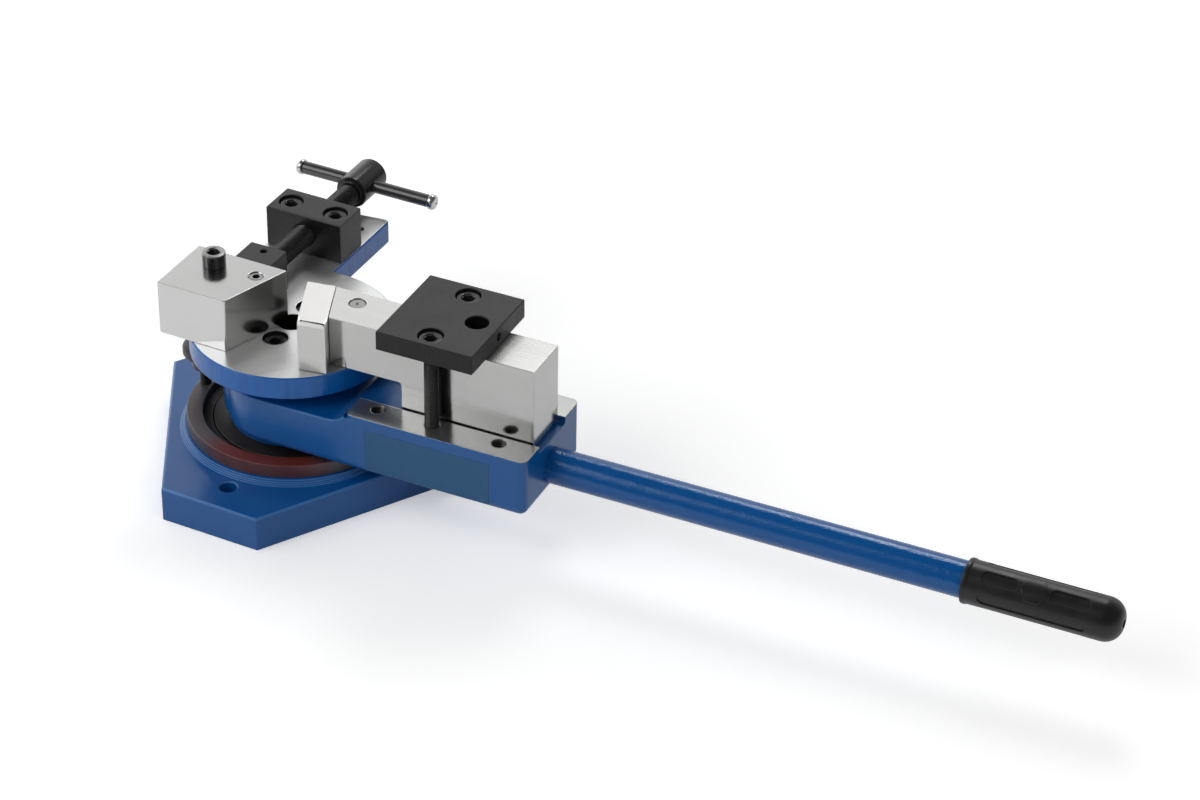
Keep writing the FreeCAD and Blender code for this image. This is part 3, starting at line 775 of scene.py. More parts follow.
@dataclass(frozen=True)
class BlackOxide(Finish):
    """Blued black steel with a slight grain and paler edges: rubbed steel, and on thread crests also a
    painted glint.
    """

    colour: Point = (0.030, 0.030, 0.031)
    rubbed_and_glint: Point = (0.30, 0.295, 0.29)
    roughness: float = 0.44
    metallic: float = 0.0
    grain_turn: Point = (0.0, 0.0, 0.0)
    wear_and_glint: float = 0.5
    gloss: float = 0.5
    streaks: float = 0.0
    edge_r: float = 0.5 * MM

    def draw(self, sheet: NodeSheet, effects: Effects, place: Wire) -> Dict[str, Feed]:
        """Draw the grain, the blotches, the streaks and the paler edges: rubbed steel, and on thread crests
        also a painted glint.
        """
        grain = sheet.use(effects.grain, Place=sheet.stretched(place, turn=self.grain_turn), Fine=0.7)
        edge = sheet.use(effects.edge, Place=place, Radius=self.edge_r, Break=0.6)
        soil = sheet.use(effects.soil, Place=place, Size=45.0)
        tone = sheet.colour(grain.tone, tinted(self.colour, 0.75), tinted(self.colour, 1.3))
        tone = sheet.colour(soil.blotch * 0.3, tone, tinted(self.colour, 1.7))
        if self.streaks > 0.0:
            bands = sheet.noise(sheet.stretched(place, (420.0, 420.0, 25.0)), 1.0, 2.0, 0.5)
            tone = sheet.colour(sheet.remap(bands, 0.35, 0.65, 0.0, self.streaks), tinted(self.colour, 0.3),
                                tinted(self.colour, 3.2))
        # Paler edges: rubbed steel, and on the fine screw threads also a painted glint on the crests.
        tone = sheet.colour(edge.mask * self.wear_and_glint, tone, self.rubbed_and_glint)
        tone = sheet.colour(soil.speck * 0.25, tone, (0.2, 0.19, 0.18))
        return {"Base Color": tone, "Metallic": sheet.remap(edge.mask, 0.0, 1.0, self.metallic, 0.9),
                "Roughness": sheet.remap(soil.blotch, 0.0, 1.0, self.roughness - 0.05, self.roughness + 0.07),
                "Specular IOR Level": self.gloss,
                "Normal": bump(sheet, 0.05, 0.0006, grain.height, edge.normal)}


@dataclass(frozen=True)
class OiledIron(Finish):
    """Dark turned iron, with a red-brown film of oil on one side where film_share is not 0."""

    colour: Point = (0.085, 0.075, 0.080)
    film: Point = (0.075, 0.0135, 0.010)
    film_side: Point = (0.20, -0.98, 0.0)
    film_share: float = 0.0
    roughness: float = 0.36

    def draw(self, sheet: NodeSheet, effects: Effects, place: Wire) -> Dict[str, Feed]:
        """Draw the turning marks, the film and the worn edges."""
        edge = sheet.use(effects.edge, Place=place, Radius=0.0006, Break=0.3)
        soil = sheet.use(effects.soil, Place=place, Size=32.0)
        turning = sheet.add("TexWave", {"Vector": place, "Scale": 260.0, "Distortion": 1.5, "Detail": 2.0},
                            "Fac",
                            wave_type="RINGS", rings_direction="Z")
        tone = sheet.colour(soil.blotch, tinted(self.colour, 0.8), tinted(self.colour, 1.15))
        if self.film_share > 0.0:
            around = sheet.add("VectorMath", {0: sheet.stretched(place, (1.0, 1.0, 0.0))},
                               operation="NORMALIZE")
            side = sheet.dot(around, self.film_side) + sheet.remap(soil.blotch, 0.0, 1.0, -0.03, 0.03)
            share = sheet.remap(sheet.tilt(), 0.2, 0.8, self.film_share * 0.5, self.film_share)
            tone = sheet.colour(sheet.remap(side, 0.78, 0.92) * share, tone, self.film)
        tone = sheet.colour(edge.mask * 0.6, tone, (0.30, 0.27, 0.25))
        return {"Base Color": tone, "Metallic": 0.45,
                "Roughness": sheet.remap(soil.blotch, 0.0, 1.0, self.roughness - 0.06, self.roughness + 0.08),
                "Normal": bump(sheet, 0.04, 0.0005, turning, edge.normal)}


@dataclass(frozen=True)
class Moulded(Finish):
    """Moulded black vinyl or plastic with a fine leather-like skin."""

    colour: Point = (0.014, 0.014, 0.015)
    roughness: float = 0.42
    strength: float = 0.06
    scale: float = 900.0

    def draw(self, sheet: NodeSheet, effects: Effects, place: Wire) -> Dict[str, Feed]:
        """Draw the skin, the handling marks and the paler edges."""
        edge = sheet.use(effects.edge, Place=place, Radius=0.0006, Break=0.2)
        soil = sheet.use(effects.soil, Place=place, Size=60.0)
        cells = sheet.add("TexVoronoi", {"Vector": place, "Scale": self.scale}, feature="SMOOTH_F1")
        tone = sheet.colour(soil.blotch, self.colour, tinted(self.colour, 1.7))
        tone = sheet.colour(edge.mask * 0.25, tone, (0.07, 0.07, 0.07))
        return {"Base Color": tone,
                "Roughness": sheet.remap(soil.blotch, 0.0, 1.0, self.roughness - 0.05, self.roughness + 0.09),
                "Normal": bump(sheet, self.strength, 0.0004, cells, edge.normal)}


def build_palette() -> Looks:
    """Build every finish of the bender, and return the materials by name."""
    finishes: List[Finish] = [
        # The base and the arm get a painted highlight on their rounded top edges.
        CastPaint("base_paint", core_r=63.6 * MM, painted_edge_highlight=0.42),
        CastPaint("arm_paint", bare_above=87.8 * MM, grain_turn=0.35, channel=True, lumps=0.8,
                  bare_colour=(0.64, 0.64, 0.625), bare_roughness=0.19, bare_metal=0.92, painted_edge_highlight=0.15),
        # The table's blue is lighter than the base's: painted light on its rim.
        CastPaint("table_paint", colour=(0.0014, 0.112, 0.430), deep=(0.0009, 0.095, 0.375),
                  bare_above=106.1 * MM, grain_turn=-0.9, lumps=0.7, core_r=33.0 * MM,
                  streaks=0.45, bare_roughness=0.30, bare_specks=0.15, bare_metal=0.84, bare_bump=0.12,
                  bare_right=-8.2 * MM, bare_colour=(0.90, 0.90, 0.89)),
        CastPaint("collar_paint", bare_below=34.8 * MM, bare_colour=(0.36, 0.33, 0.30)),
        CastPaint("tube_paint", lumps=1.0, peel=2.6, strength=0.20, roughness=0.10, gloss=0.41),
        CastPaint("label_film", colour=(0.0040, 0.078, 0.200), deep=(0.0036, 0.070, 0.180), lumps=0.15,
                  peel=0.2, roughness=0.32, strength=0.04),
        # former_steel darkens its top, die_steel and slide_steel their sides: painted shade, on the sides
        # partly a milled finish.
        ToolSteel("former_steel", colour=(0.72, 0.72, 0.715), shade=0.95, roughness=0.13, spread=0.03,
                  strength=0.012, blotch=0.15, specks=0.02, side_roughness=0.12, painted_top_shade=0.72),
        # A darker copy of the former's steel for its right face: painted shade.
        ToolSteel("former_shaded_side_steel", colour=(0.43, 0.43, 0.425), shade=0.90, roughness=0.13, spread=0.03,
                  strength=0.012, blotch=0.30, specks=0.05),
        ToolSteel("die_steel", colour=(0.80, 0.795, 0.785), shade=0.93, roughness=0.30, spread=0.08,
                  strength=0.04, blotch=0.2, specks=0.1, grain_turn=(0.0, 1.2, 0.4), side_milling_and_shade=0.88,
                  metallic=0.80),
        # A paler, less metallic steel for the die's rounded front top edge: a painted highlight on a rough,
        # scratched round.
        ToolSteel("die_edge_highlight_steel", colour=(0.96, 0.955, 0.945), shade=0.92, roughness=0.34, blotch=0.15,
                  specks=0.1, metallic=0.35),
        ToolSteel("slide_steel", colour=(0.67, 0.67, 0.66), shade=0.92, roughness=0.22, spread=0.06,
                  strength=0.02, blotch=0.50, specks=0.10, side_roughness=0.13, side_milling_and_shade=0.91),
        ToolSteel("inner_steel", colour=(0.42, 0.41, 0.40), roughness=0.38, blotch=0.5),
        ToolSteel("thread_steel", colour=(0.20, 0.195, 0.19), roughness=0.30, blotch=0.5, edge_r=0.1 * MM),
        ToolSteel("pin_steel", colour=(0.36, 0.355, 0.35), roughness=0.30, blotch=0.5),
        ToolSteel("cap_steel", colour=(0.72, 0.72, 0.71), roughness=0.16, blotch=0.15, specks=0.15),
        ToolSteel("bush_bronze", colour=(0.55, 0.36, 0.16), roughness=0.34, blotch=0.4),
        BlackOxide("block_black", colour=(0.0060, 0.0060, 0.0061), roughness=0.38, gloss=0.42, wear_and_glint=0.35,
                   edge_r=0.9 * MM),
        BlackOxide("plate_black", colour=(0.0050, 0.0050, 0.0051), roughness=0.40, gloss=0.36, wear_and_glint=0.40,
                   edge_r=0.9 * MM, grain_turn=(0.0, 0.0, 0.5)),
        BlackOxide("screw_black", colour=(0.012, 0.012, 0.0122), rubbed_and_glint=(0.46, 0.455, 0.45), roughness=0.15,
                   wear_and_glint=0.85, metallic=0.1, edge_r=0.12 * MM),
        BlackOxide("stud_black", colour=(0.004, 0.004, 0.0041), roughness=0.40, wear_and_glint=0.3, gloss=0.3,
                   edge_r=0.12 * MM),
        BlackOxide("socket_black", colour=(0.018, 0.018, 0.0182), rubbed_and_glint=(0.50, 0.495, 0.49), roughness=0.20,
                   wear_and_glint=0.95, metallic=0.2, edge_r=0.2 * MM),
        BlackOxide("bolt_black", colour=(0.045, 0.045, 0.0455), rubbed_and_glint=(0.62, 0.61, 0.60), roughness=0.15,
                   wear_and_glint=0.95, metallic=0.65, edge_r=0.3 * MM, streaks=1.0),
        BlackOxide("bar_black", colour=(0.100, 0.100, 0.101), roughness=0.20, wear_and_glint=0.6, metallic=0.70),
        ToolSteel("rim_steel", colour=(0.42, 0.417, 0.413), shade=0.50, roughness=0.30, blotch=0.7,
                  specks=0.5),
        OiledIron("ring_iron", colour=(0.105, 0.090, 0.094), film=(0.200, 0.034, 0.024), film_share=0.95),
        OiledIron("washer_iron", colour=(0.030, 0.026, 0.025), roughness=0.42),
        Moulded("grip_vinyl", colour=(0.0065, 0.0065, 0.0068), roughness=0.36),
        Moulded("knob_plastic", colour=(0.018, 0.014, 0.017), roughness=0.30, scale=1500.0, strength=0.03),
    ]
    effects = Effects()
    log.info("%d finishes", len(finishes))
    return {finish.name: finish.build(effects) for finish in finishes}


# Screws and bores

@dataclass(frozen=True)
class SocketScrew:
    """A socket-head screw that points down."""

    shank_r: float = 4.95
    head_r: float = 8.0
    head_h: float = 10.0
    key: float = 8.0
    pitch: float = 1.5
    rim: float = 0.7

    def head(self, name: str, top: Point) -> Piece:
        """Turn the head and sink its hexagon."""
        r, h, c = self.head_r, self.head_h, self.rim
        line = [(0.0, 0.0), (r - c, 0.0), (r - c * 0.3, c * 0.3), (r, c), (r, h - 0.3), (r - 0.3, h),
                (0.0, h)]
        piece = turned(name, line, top, Axis.DOWN, 56)
        key_r = self.key / math.sqrt(3)
        x, y, z = top
        line = [(0.0, 0.0), (key_r * 0.93, 0.0), (key_r + 0.5, 0.9), (key_r + 0.5, 2.0), (0.0, 2.0)]
        mouth = turned("mouth", line, (x, y, z - 0.9), Axis.UP, 40)
        return cut(piece, mouth, drum("socket", key_r, (x, y, z - h * 0.78), Axis.UP, h, 6))

    def build(self, name: str, top: Point, length: float, plain: float = 0.0) -> Piece:
        """Build one screw.

        Args:
            name: the piece's name.
            top: centre of the head's top face.
            length: shank length under the head.
            plain: how much of the shank has no thread.

        Returns:
            The screw as one piece of closed shells.
        """
        piece = self.head(name, top)
        x, y, z = top
        start = z - self.head_h + 0.2
        shells = []
        if plain > 0.0:
            shells.append(drum("neck", self.shank_r, (x, y, start), Axis.DOWN, plain + 0.2, 40))
        shells.append(threaded("thread", self.shank_r, self.pitch, (x, y, start - plain), Axis.DOWN,
                               length - plain, 28))
        return gather(piece, *shells)


def sunk_screws(looks: Looks, name: str, body: Body, places: Sequence[Place], top: float, length: float,
                plain: float = 0.0) -> None:
    """Add a row of numbered screws whose heads lie a little under a top face.

    Args:
        looks: the finishes.
        name: one screw's name. The CAD node's name adds an s.
        body: the body that they ride on.
        places: where they stand.
        top: height of the top face.
        length: shank length under the head.
        plain: how much of the shank has no thread.
    """
    for number, (x, y) in enumerate(places, 1):
        piece = SocketScrew(head_h=8.6).build("%s_%d" % (name, number), (x, y, top - HEAD_SINK), length,
                                              plain)
        hand_over(piece, looks["socket_black"], body, name + "s")


def tapped_holes(looks: Looks, name: str, body: Body, places: Sequence[Place], top: float, radius: float,
                 pitch: float, length: float, steps: int) -> None:
    """Line a row of numbered holes with threads.

    Args:
        looks: the finishes.
        name: one thread's name.
        body: the body that they ride on.
        places: where the holes are.
        top: where the threads start.
        radius: the holes' radius.
        pitch: the advance in one turn.
        length: the threaded length.
        steps: faces round each turn.
    """
    for number, (x, y) in enumerate(places, 1):
        liner = threaded("%s_%d" % (name, number), radius, pitch, (x, y, top), Axis.DOWN, length, steps,
                         bore=True)
        hand_over(liner, looks["thread_steel"], body)


def grub(name: str, line: Profile, top: Point, axis: Axis, steps: int, key: float, deep: float) -> Piece:
    """Turn a set screw and sink its hexagon.

    Args:
        name: the piece's name.
        line: its side, from the top face to its end.
        top: centre of its top face.
        axis: the direction that it points in.
        steps: faces round the piece.
        key: the hexagon's size across flats.
        deep: the hexagon's depth.

    Returns:
        The set screw.
    """
    piece = turned(name, [(0.0, 0.0), *line, (0.0, line[-1][1])], top, axis, steps)
    floor = Vector(top) + axis.vector * deep
    return cut(piece, drum("key", key / math.sqrt(3), floor, axis.back, 2 * deep, 6))


def drill(radius: float, wide: float, levels: Sequence[float], origin: Point, axis: Axis,
          steps: int) -> Piece:
    """Turn a cutter for a round hole with a broken mouth.

    Args:
        radius: the hole's radius.
        wide: the mouth's radius.
        levels: where the hole starts, where its mouth starts and ends, and where the cutter ends.
        origin: where level 0 lies.
        axis: the direction towards the mouth.
        steps: faces round the hole.

    Returns:
        The cutter.
    """
    start, lip, mouth, end = levels
    line = [(0.0, start), (radius, start), (radius, lip), (wide, mouth), (wide, end), (0.0, end)]
    return turned("drill", line, origin, axis, steps)


def counterbore(top: Point, reach: float) -> Piece:
    """A cutter for a sunk screw: a broken mouth, the head's pocket and the shank's hole."""
    head_r, depth, shank_r, lip = 8.75, 10.3, 5.5, 0.35
    line = [(0.0, -THROUGH), (head_r + lip, -THROUGH), (head_r + lip, 0.0), (head_r, lip), (head_r, depth),
            (shank_r, depth), (shank_r, reach), (0.0, reach)]
    return turned("counterbore", line, top, Axis.DOWN, 56)


# Stand

@dataclass
class BaseCasting:
    """The three-cornered base with its boss and the spigot that the stop ring turns on."""

    height: float = 26.0
    corner_r: float = 118.0
    corner_angles: Tuple[float, ...] = (30.0, 150.0, 270.0)
    half_angle: float = 18.4
    outline_turn: float = -0.8
    edge_round: float = 1.0
    hole_r: float = 6.0
    hole_pitch_r: float = 89.0
    pocket_r: float = 56.45
    pocket_floor: float = 14.0

    def plate(self) -> Piece:
        """The plate, a triangle with cut corners, with its rounded edges."""
        plan = [polar(self.corner_r, middle + self.outline_turn + side * self.half_angle)
                for middle in self.corner_angles for side in (-1, 1)]
        piece = plate_from("base_casting", plan, 0.0, self.height)
        round_edges(piece, 2.0, 5, lambda a, b: min(a.z, b.z) > self.height - 0.1)
        round_edges(piece, 0.8, 2, lambda a, b: max(a.z, b.z) < 0.1)
        round_edges(piece, self.edge_round / math.tan(math.radians(60)), 2,
                    lambda a, b: abs(a.z - b.z) > 0.01 and a.xy.angle(b.xy) < 0.0001, clamp=True)
        return piece

    def boss(self) -> Piece:
        """The stepped boss and spigot, turned as one ring."""
        p = self.pocket_r
        line = [(p, 13.0), (p, 33.0), (p + 0.5, 33.5), (62.95, 33.5), (63.45, 33.0), (63.45, 30.0),
                (76.2, 30.0),
                (76.65, 29.8), (76.85, 29.3), (76.85, 28.5), (77.1, 28.1), (77.5, 27.9), (78.3, 27.9),
                (78.75, 27.6),
                (78.9, 27.1), (78.9, 26.6), (79.2, 26.1), (80.2, 25.7), (80.2, 13.0), (p, 13.0)]
        return turned("boss", line, (0, 0, 0), Axis.UP, 144)

    def build(self, looks: Looks) -> None:
        """Build and dress the base."""
        piece = cut(self.plate(), drum("pocket", 70.0, (0, 0, self.pocket_floor), Axis.UP, 40.0, 144))
        cut(piece, self.boss(), operation="UNION")
        levels = (-THROUGH, self.height - 0.6, self.height, self.height + THROUGH)
        for angle in self.corner_angles:
            place = (*polar(self.hole_pitch_r, angle), 0.0)
            cut(piece, drill(self.hole_r, self.hole_r + 0.6, levels, place, Axis.UP, 48))
        hand_over(piece, looks["base_paint"], Body.STAND, "base_plate")


@dataclass
class StopRing:
    """The loose ring on the base's spigot, with its knob and stud."""

    inner_r: float = 63.5
    outer_r: float = 74.5
    low: float = 30.0
    high: float = 40.0
    chamfer: float = 0.8
    stud_angle: float = 184.0
    stud_r: float = 3.95
    stud_low: float = 30.4
    knob_low: float = 53.5
    hub_r: float = 9.0
    hub_h: float = 10.0
    head_r: float = 15.0
    head_h: float = 9.0

    def at_stud(self, height: float) -> Point:
        """The place on the stud's axis at a height."""
        return (*polar((self.inner_r + self.outer_r) / 2, self.stud_angle), height)

    def ring(self) -> Piece:
        """The ring, turned from its section."""
        a, b, c = self.inner_r, self.outer_r, self.chamfer
        line = [(a, self.low), (a, self.high - c), (a + c, self.high), (b - c, self.high),
                (b - c * 0.3, self.high - c * 0.3), (b, self.high - c), (b, self.low + 0.4),
                (b - 0.4, self.low),
                (a, self.low)]
        piece = turned("stop_ring_turned", line, (0, 0, 0), Axis.UP, 160)
        return cut(piece, drum("hole", self.stud_r + 0.05, self.at_stud(self.low - 10.0), Axis.UP, 40.0, 40))

    def knob(self) -> Piece:
        """The knob: a hub under a wide round head with a hollow top."""
        s, b, h, t, r = self.stud_r, self.hub_r, self.hub_h, self.hub_h + self.head_h, self.head_r
        line = [(0.0, 6.0), (s + 0.1, 6.0), (s + 0.1, 0.4), (s + 0.5, 0.0), (b - 0.8, 0.0), (b, 0.8),
                (b, h - 1.5),
                (b + 0.6, h - 0.4), (b + 1.6, h), (r - 2.2, h), (r - 0.8, h + 0.6), (r, h + 2.2),
                (r, t - 2.4),
                (r - 0.7, t - 0.8), (r - 2.4, t), (r - 5.0, t), (r - 6.0, t - 0.5), (0.0, t - 0.7)]
        return turned("stop_knob_turned", line, self.at_stud(self.knob_low), Axis.UP, 72)

    def build(self, looks: Looks) -> None:
        """Build and dress the ring, the stud and the knob."""
        hand_over(self.ring(), looks["ring_iron"], Body.RING, "stop_ring")
        stud = threaded("stop_stud_threaded", self.stud_r, 1.25, self.at_stud(self.stud_low), Axis.UP, 30.0,
                        28)
        hand_over(stud, looks["stud_black"], Body.KNOB, "stop_stud")
        hand_over(self.knob(), looks["knob_plastic"], Body.KNOB, "stop_knob")


@dataclass
class Table:
    """The table's own CAD shape with its finish, its four sunk screws and the thread in its tail holes."""

    screw_pitch_r: float = 22.2
    tail_holes: Tuple[Place, ...] = ((-56.7, 127.6), (-19.7, 127.6))

    def build(self, looks: Looks) -> None:
        """Dress the table and add its screws and threads."""
        dress_node("table", looks["table_paint"])
        places = [polar(self.screw_pitch_r, 90 * number) for number in range(4)]
        sunk_screws(looks, "table_screw", Body.STAND, places, TABLE_TOP_Z, 23.0, 6.0)
        tapped_holes(looks, "tail_thread", Body.STAND, self.tail_holes, TABLE_TOP_Z - 0.3, 2.6, 1.0, 15.0, 24)


@dataclass
class FormerBlock:
    """The ground block that the bar is bent round, with its bolt and set screw."""

    x0: float = -72.4
    x1: float = -3.0
    y0: float = -52.3
    y1: float = 1.0
    high: float = 146.5
    taper: float = 17.6
    bolt: Place = (-50.6, -14.6)
    pin: Place = (-17.9, -14.6)

    def block(self) -> Piece:
        """The tapered block with its two holes."""
        run = (self.y1 - self.y0) * math.tan(math.radians(self.taper))
        plan = [(self.x0, self.y0), (self.x1 - run, self.y0), (self.x1, self.y1), (self.x0, self.y1)]
        piece = plate_from("former_block_ground", plan, TABLE_TOP_Z, self.high)
        round_edges(piece, 1.1, 4, lambda a, b: abs(a.z - b.z) > 20.0)
        soften(piece, 0.45, 3, 40)
        cut(piece, drum("bolt_hole", 5.5, (*self.bolt, TABLE_TOP_Z - THROUGH), Axis.UP, 45.0, 48))
        return cut(piece, drill(5.0, 5.8, (0.0, 17.2, 18.02, 20.0), (*self.pin, self.high - 18.0), Axis.UP,
                                48))

    def build(self, looks: Looks) -> None:
        """Build and dress the former and its screws."""
        piece = hand_over(self.block(), looks["former_steel"], Body.STAND, "former_block")
        # The right face takes the darker copy of the steel as painted shade.
        dress_faces(piece, looks["former_shaded_side_steel"], lambda c, n: n.x > 0.9)
        screw = SocketScrew(rim=0.9)
        top = self.high + screw.head_h
        bolt = screw.build("former_bolt_capped", (*self.bolt, top), 54.5, 40.0)
        hand_over(bolt, looks["bolt_black"], Body.STAND, "former_bolt")
        dress_faces(bolt, looks["rim_steel"], lambda c, n: c.z > top - 0.85 and n.z > 0.2)
        line = [(4.1, 0.0), (4.95, 0.60), (4.95, 13.6), (4.4, 14.0)]
        plug = grub("former_grub", line, (*self.pin, self.high - 0.4), Axis.DOWN, 48, 5.0, 5.6)
        hand_over(plug, looks["bolt_black"], Body.STAND, "former_set_screw")
        dress_faces(plug, looks["rim_steel"], lambda c, n: c.z > self.high - 1.1 and n.z > 0.2)


@dataclass
class ScrewBlock:
    """The block on the table's tail, with its two sunk screws."""

    width: float = 59.4
    y0: float = 80.5
    y1: float = 109.9
    bore_r: float = 8.05
    screw_spacing: float = 35.4

    def build(self, looks: Looks) -> None:
        """Build and dress the block and its screws."""
        x, half = CLAMP_SCREW_X, self.width / 2
        piece = block("screw_block_milled", (x - half, self.y0, TABLE_TOP_Z),
                      (x + half, self.y1, BLOCK_TOP_Z))
        soften(piece, 0.9)
        r, lip = self.bore_r, self.bore_r + 0.8
        line = [(0.0, -THROUGH), (lip, -THROUGH), (lip, 0.0), (r, 0.8), (r, 28.6), (lip, 29.4), (lip, 32.0),
                (0.0, 32.0)]
        cut(piece, turned("bore", line, (x, self.y0, CLAMP_SCREW_Z), Axis.ALONG_Y, 56))
        places = [(x + side * self.screw_spacing / 2, (self.y0 + self.y1) / 2) for side in (-1, 1)]
        for place in places:
            cut(piece, counterbore((*place, BLOCK_TOP_Z), 40.0))
        hand_over(piece, looks["block_black"], Body.STAND, "screw_block")
        sunk_screws(looks, "screw_block_screw", Body.STAND, places, BLOCK_TOP_Z, 34.0, 18.0)


# Clamp screw

@dataclass
class ClampScrew:
    """The clamp screw with its round head, its tommy bar and the bar's caps."""

    start_y: float = 35.8
    head_y: float = 146.8
    head_len: float = 31.0
    head_r: float = 12.0
    screw_r: float = 8.0
    pitch: float = 2.0
    nose_r: float = 5.0
    bar_r: float = 4.6
    bar_len: float = 102.6
    bar_shift: float = 4.1
    cap_r: float = 5.6
    cap_len: float = 5.0

    def head(self) -> Piece:
        """The round head with its turned collar and the hole for the bar."""
        r, n, c, x, z = self.head_r, self.head_len, 1.2, CLAMP_SCREW_X, CLAMP_SCREW_Z
        line = [(0.0, -1.2), (8.6, -1.2), (8.9, -0.9), (8.9, 0.0), (r - c, 0.0), (r - c * 0.3, c * 0.3),
                (r, c),
                (r, n - c), (r - c * 0.3, n - c * 0.3), (r - c, n), (0.0, n)]
        piece = turned("clamp_screw_cut", line, (x, self.head_y, z), Axis.ALONG_Y, 72)
        return cut(piece, drum("hole", self.bar_r + 0.1, (x - 20.0, self.head_y + n / 2, z), Axis.ALONG_X,
                               40.0, 48))

    def build(self, looks: Looks) -> None:
        """Build and dress the screw, the bar and its caps."""
        x, z, n = CLAMP_SCREW_X, CLAMP_SCREW_Z, self.nose_r
        piece = self.head()
        thread = threaded("thread", self.screw_r, self.pitch, (x, self.start_y + 1.5, z), Axis.ALONG_Y,
                          self.head_y - self.start_y - 2.4, 44)
        line = [(0.0, -14.0), (n - 0.6, -14.0), (n, -13.4), (n, -9.4), (3.8, -9.4), (3.8, -5.0), (n, -5.0),
                (n, 0.0),
                (6.4, 0.0), (7.2, 1.0), (7.2, 3.0), (0.0, 3.0)]
        nose = turned("nose", line, (x, self.start_y, z), Axis.ALONG_Y, 48)
        gather(piece, thread, nose)
        hand_over(piece, looks["screw_black"], Body.SCREW, "clamp_screw")
        self.build_bar(looks)

    def build_bar(self, looks: Looks) -> None:
        """The tommy bar and its two domed caps."""
        x, y, z = CLAMP_SCREW_X + self.bar_shift, self.head_y + self.head_len / 2, CLAMP_SCREW_Z
        half, r, c = self.bar_len / 2, self.bar_r, 0.5
        line = [(0.0, -half), (r - c, -half), (r, c - half), (r, half - c), (r - c, half), (0.0, half)]
        bar = turned("tommy_bar_turned", line, (x, y, z), Axis.ALONG_X, 48)
        hand_over(bar, looks["bar_black"], Body.TOMMY, "tommy_bar")
        shares = ((1.0, 0.42), (0.985, 0.55), (0.93, 0.70), (0.82, 0.84), (0.66, 0.94), (0.42, 0.99),
                  (0.22, 1.0),
                  (0.16, 0.9), (0.0, 0.86))
        dome = [(0.0, 0.0), (self.cap_r - 0.5, 0.0), (self.cap_r, 0.5)]
        dome += [(self.cap_r * out, self.cap_len * along) for out, along in shares]
        for name, axis, side in (("left", Axis.AGAINST_X, -1), ("right", Axis.ALONG_X, 1)):
            cap = turned("tommy_cap_%s_domed" % name, dome, (x + side * (half + 0.02), y, z), axis, 48)
            hand_over(cap, looks["cap_steel"], Body.TOMMY, "tommy_cap_" + name, 50)


@dataclass
class Pusher:
    """The block that the clamp screw drives against the bar."""

    half: float = 14.0
    y0: float = 8.0
    y1: float = 35.5
    pin_back: float = 7.2

    def build(self, looks: Looks) -> None:
        """Build and dress the block and its pin."""
        x, y, z = CLAMP_SCREW_X, self.y1 - self.pin_back, CLAMP_SCREW_Z
        piece = block("pusher_block_milled", (x - self.half, self.y0, TABLE_TOP_Z),
                      (x + self.half, self.y1, BLOCK_TOP_Z))
        soften(piece, 0.6, 3)
        cut(piece, drill(5.05, 5.6, (0.0, 14.2, 14.75, 20.0), (x, self.y1 - 14.7, z), Axis.ALONG_Y, 48),
            drill(2.5, 2.9, (0.0, 14.7, 15.05, 18.0), (x, y, z), Axis.UP, 36))
        hand_over(piece, looks["block_black"], Body.PUSHER, "pusher_block")
        line = [(2.1, 0.0), (2.45, 0.35), (2.45, 7.7), (1.9, 7.8), (1.9, 8.9)]
        pin = grub("pusher_grub", line, (x, y, BLOCK_TOP_Z - 2.0), Axis.DOWN, 36, 2.5, 2.5)
        hand_over(pin, looks["socket_black"], Body.PUSHER, "pusher_pin")


# Lever

@dataclass
class LeverArm:
    """The arm casting in its own CAD shape, with its threads, its bare label field and the tube."""

    strip_top: float = 88.0
    hole_xs: Tuple[float, ...] = (88.5, 177.7)
    hole_ys: Tuple[float, ...] = (-43.7, 10.7)
    front_y: float = -58.2
    label_low: Place = (85.5, 47.8)
    label_high: Place = (177.2, 79.6)

    def build(self, looks: Looks) -> None:
        """Dress the castings, and add the threads and the bare label field."""
        dress_node("lever_arm", looks["arm_paint"])
        dress_node("lever_tube", looks["tube_paint"])
        places = [(x, y) for x in self.hole_xs for y in self.hole_ys]
        tapped_holes(looks, "strip_thread", Body.LEVER, places, self.strip_top - 0.5, 5.0, 1.5, 22.0, 32)
        (x0, z0), (x1, z1) = self.label_low, self.label_high
        film = block("label_film_bare", (x0, self.front_y - 0.08, z0), (x1, self.front_y - 0.01, z1))
        round_edges(film, 1.2, 4, lambda a, b: abs(a.y - b.y) > 0.03 and (a - b).length < 1.0)
        hand_over(film, looks["label_film"], Body.LEVER)


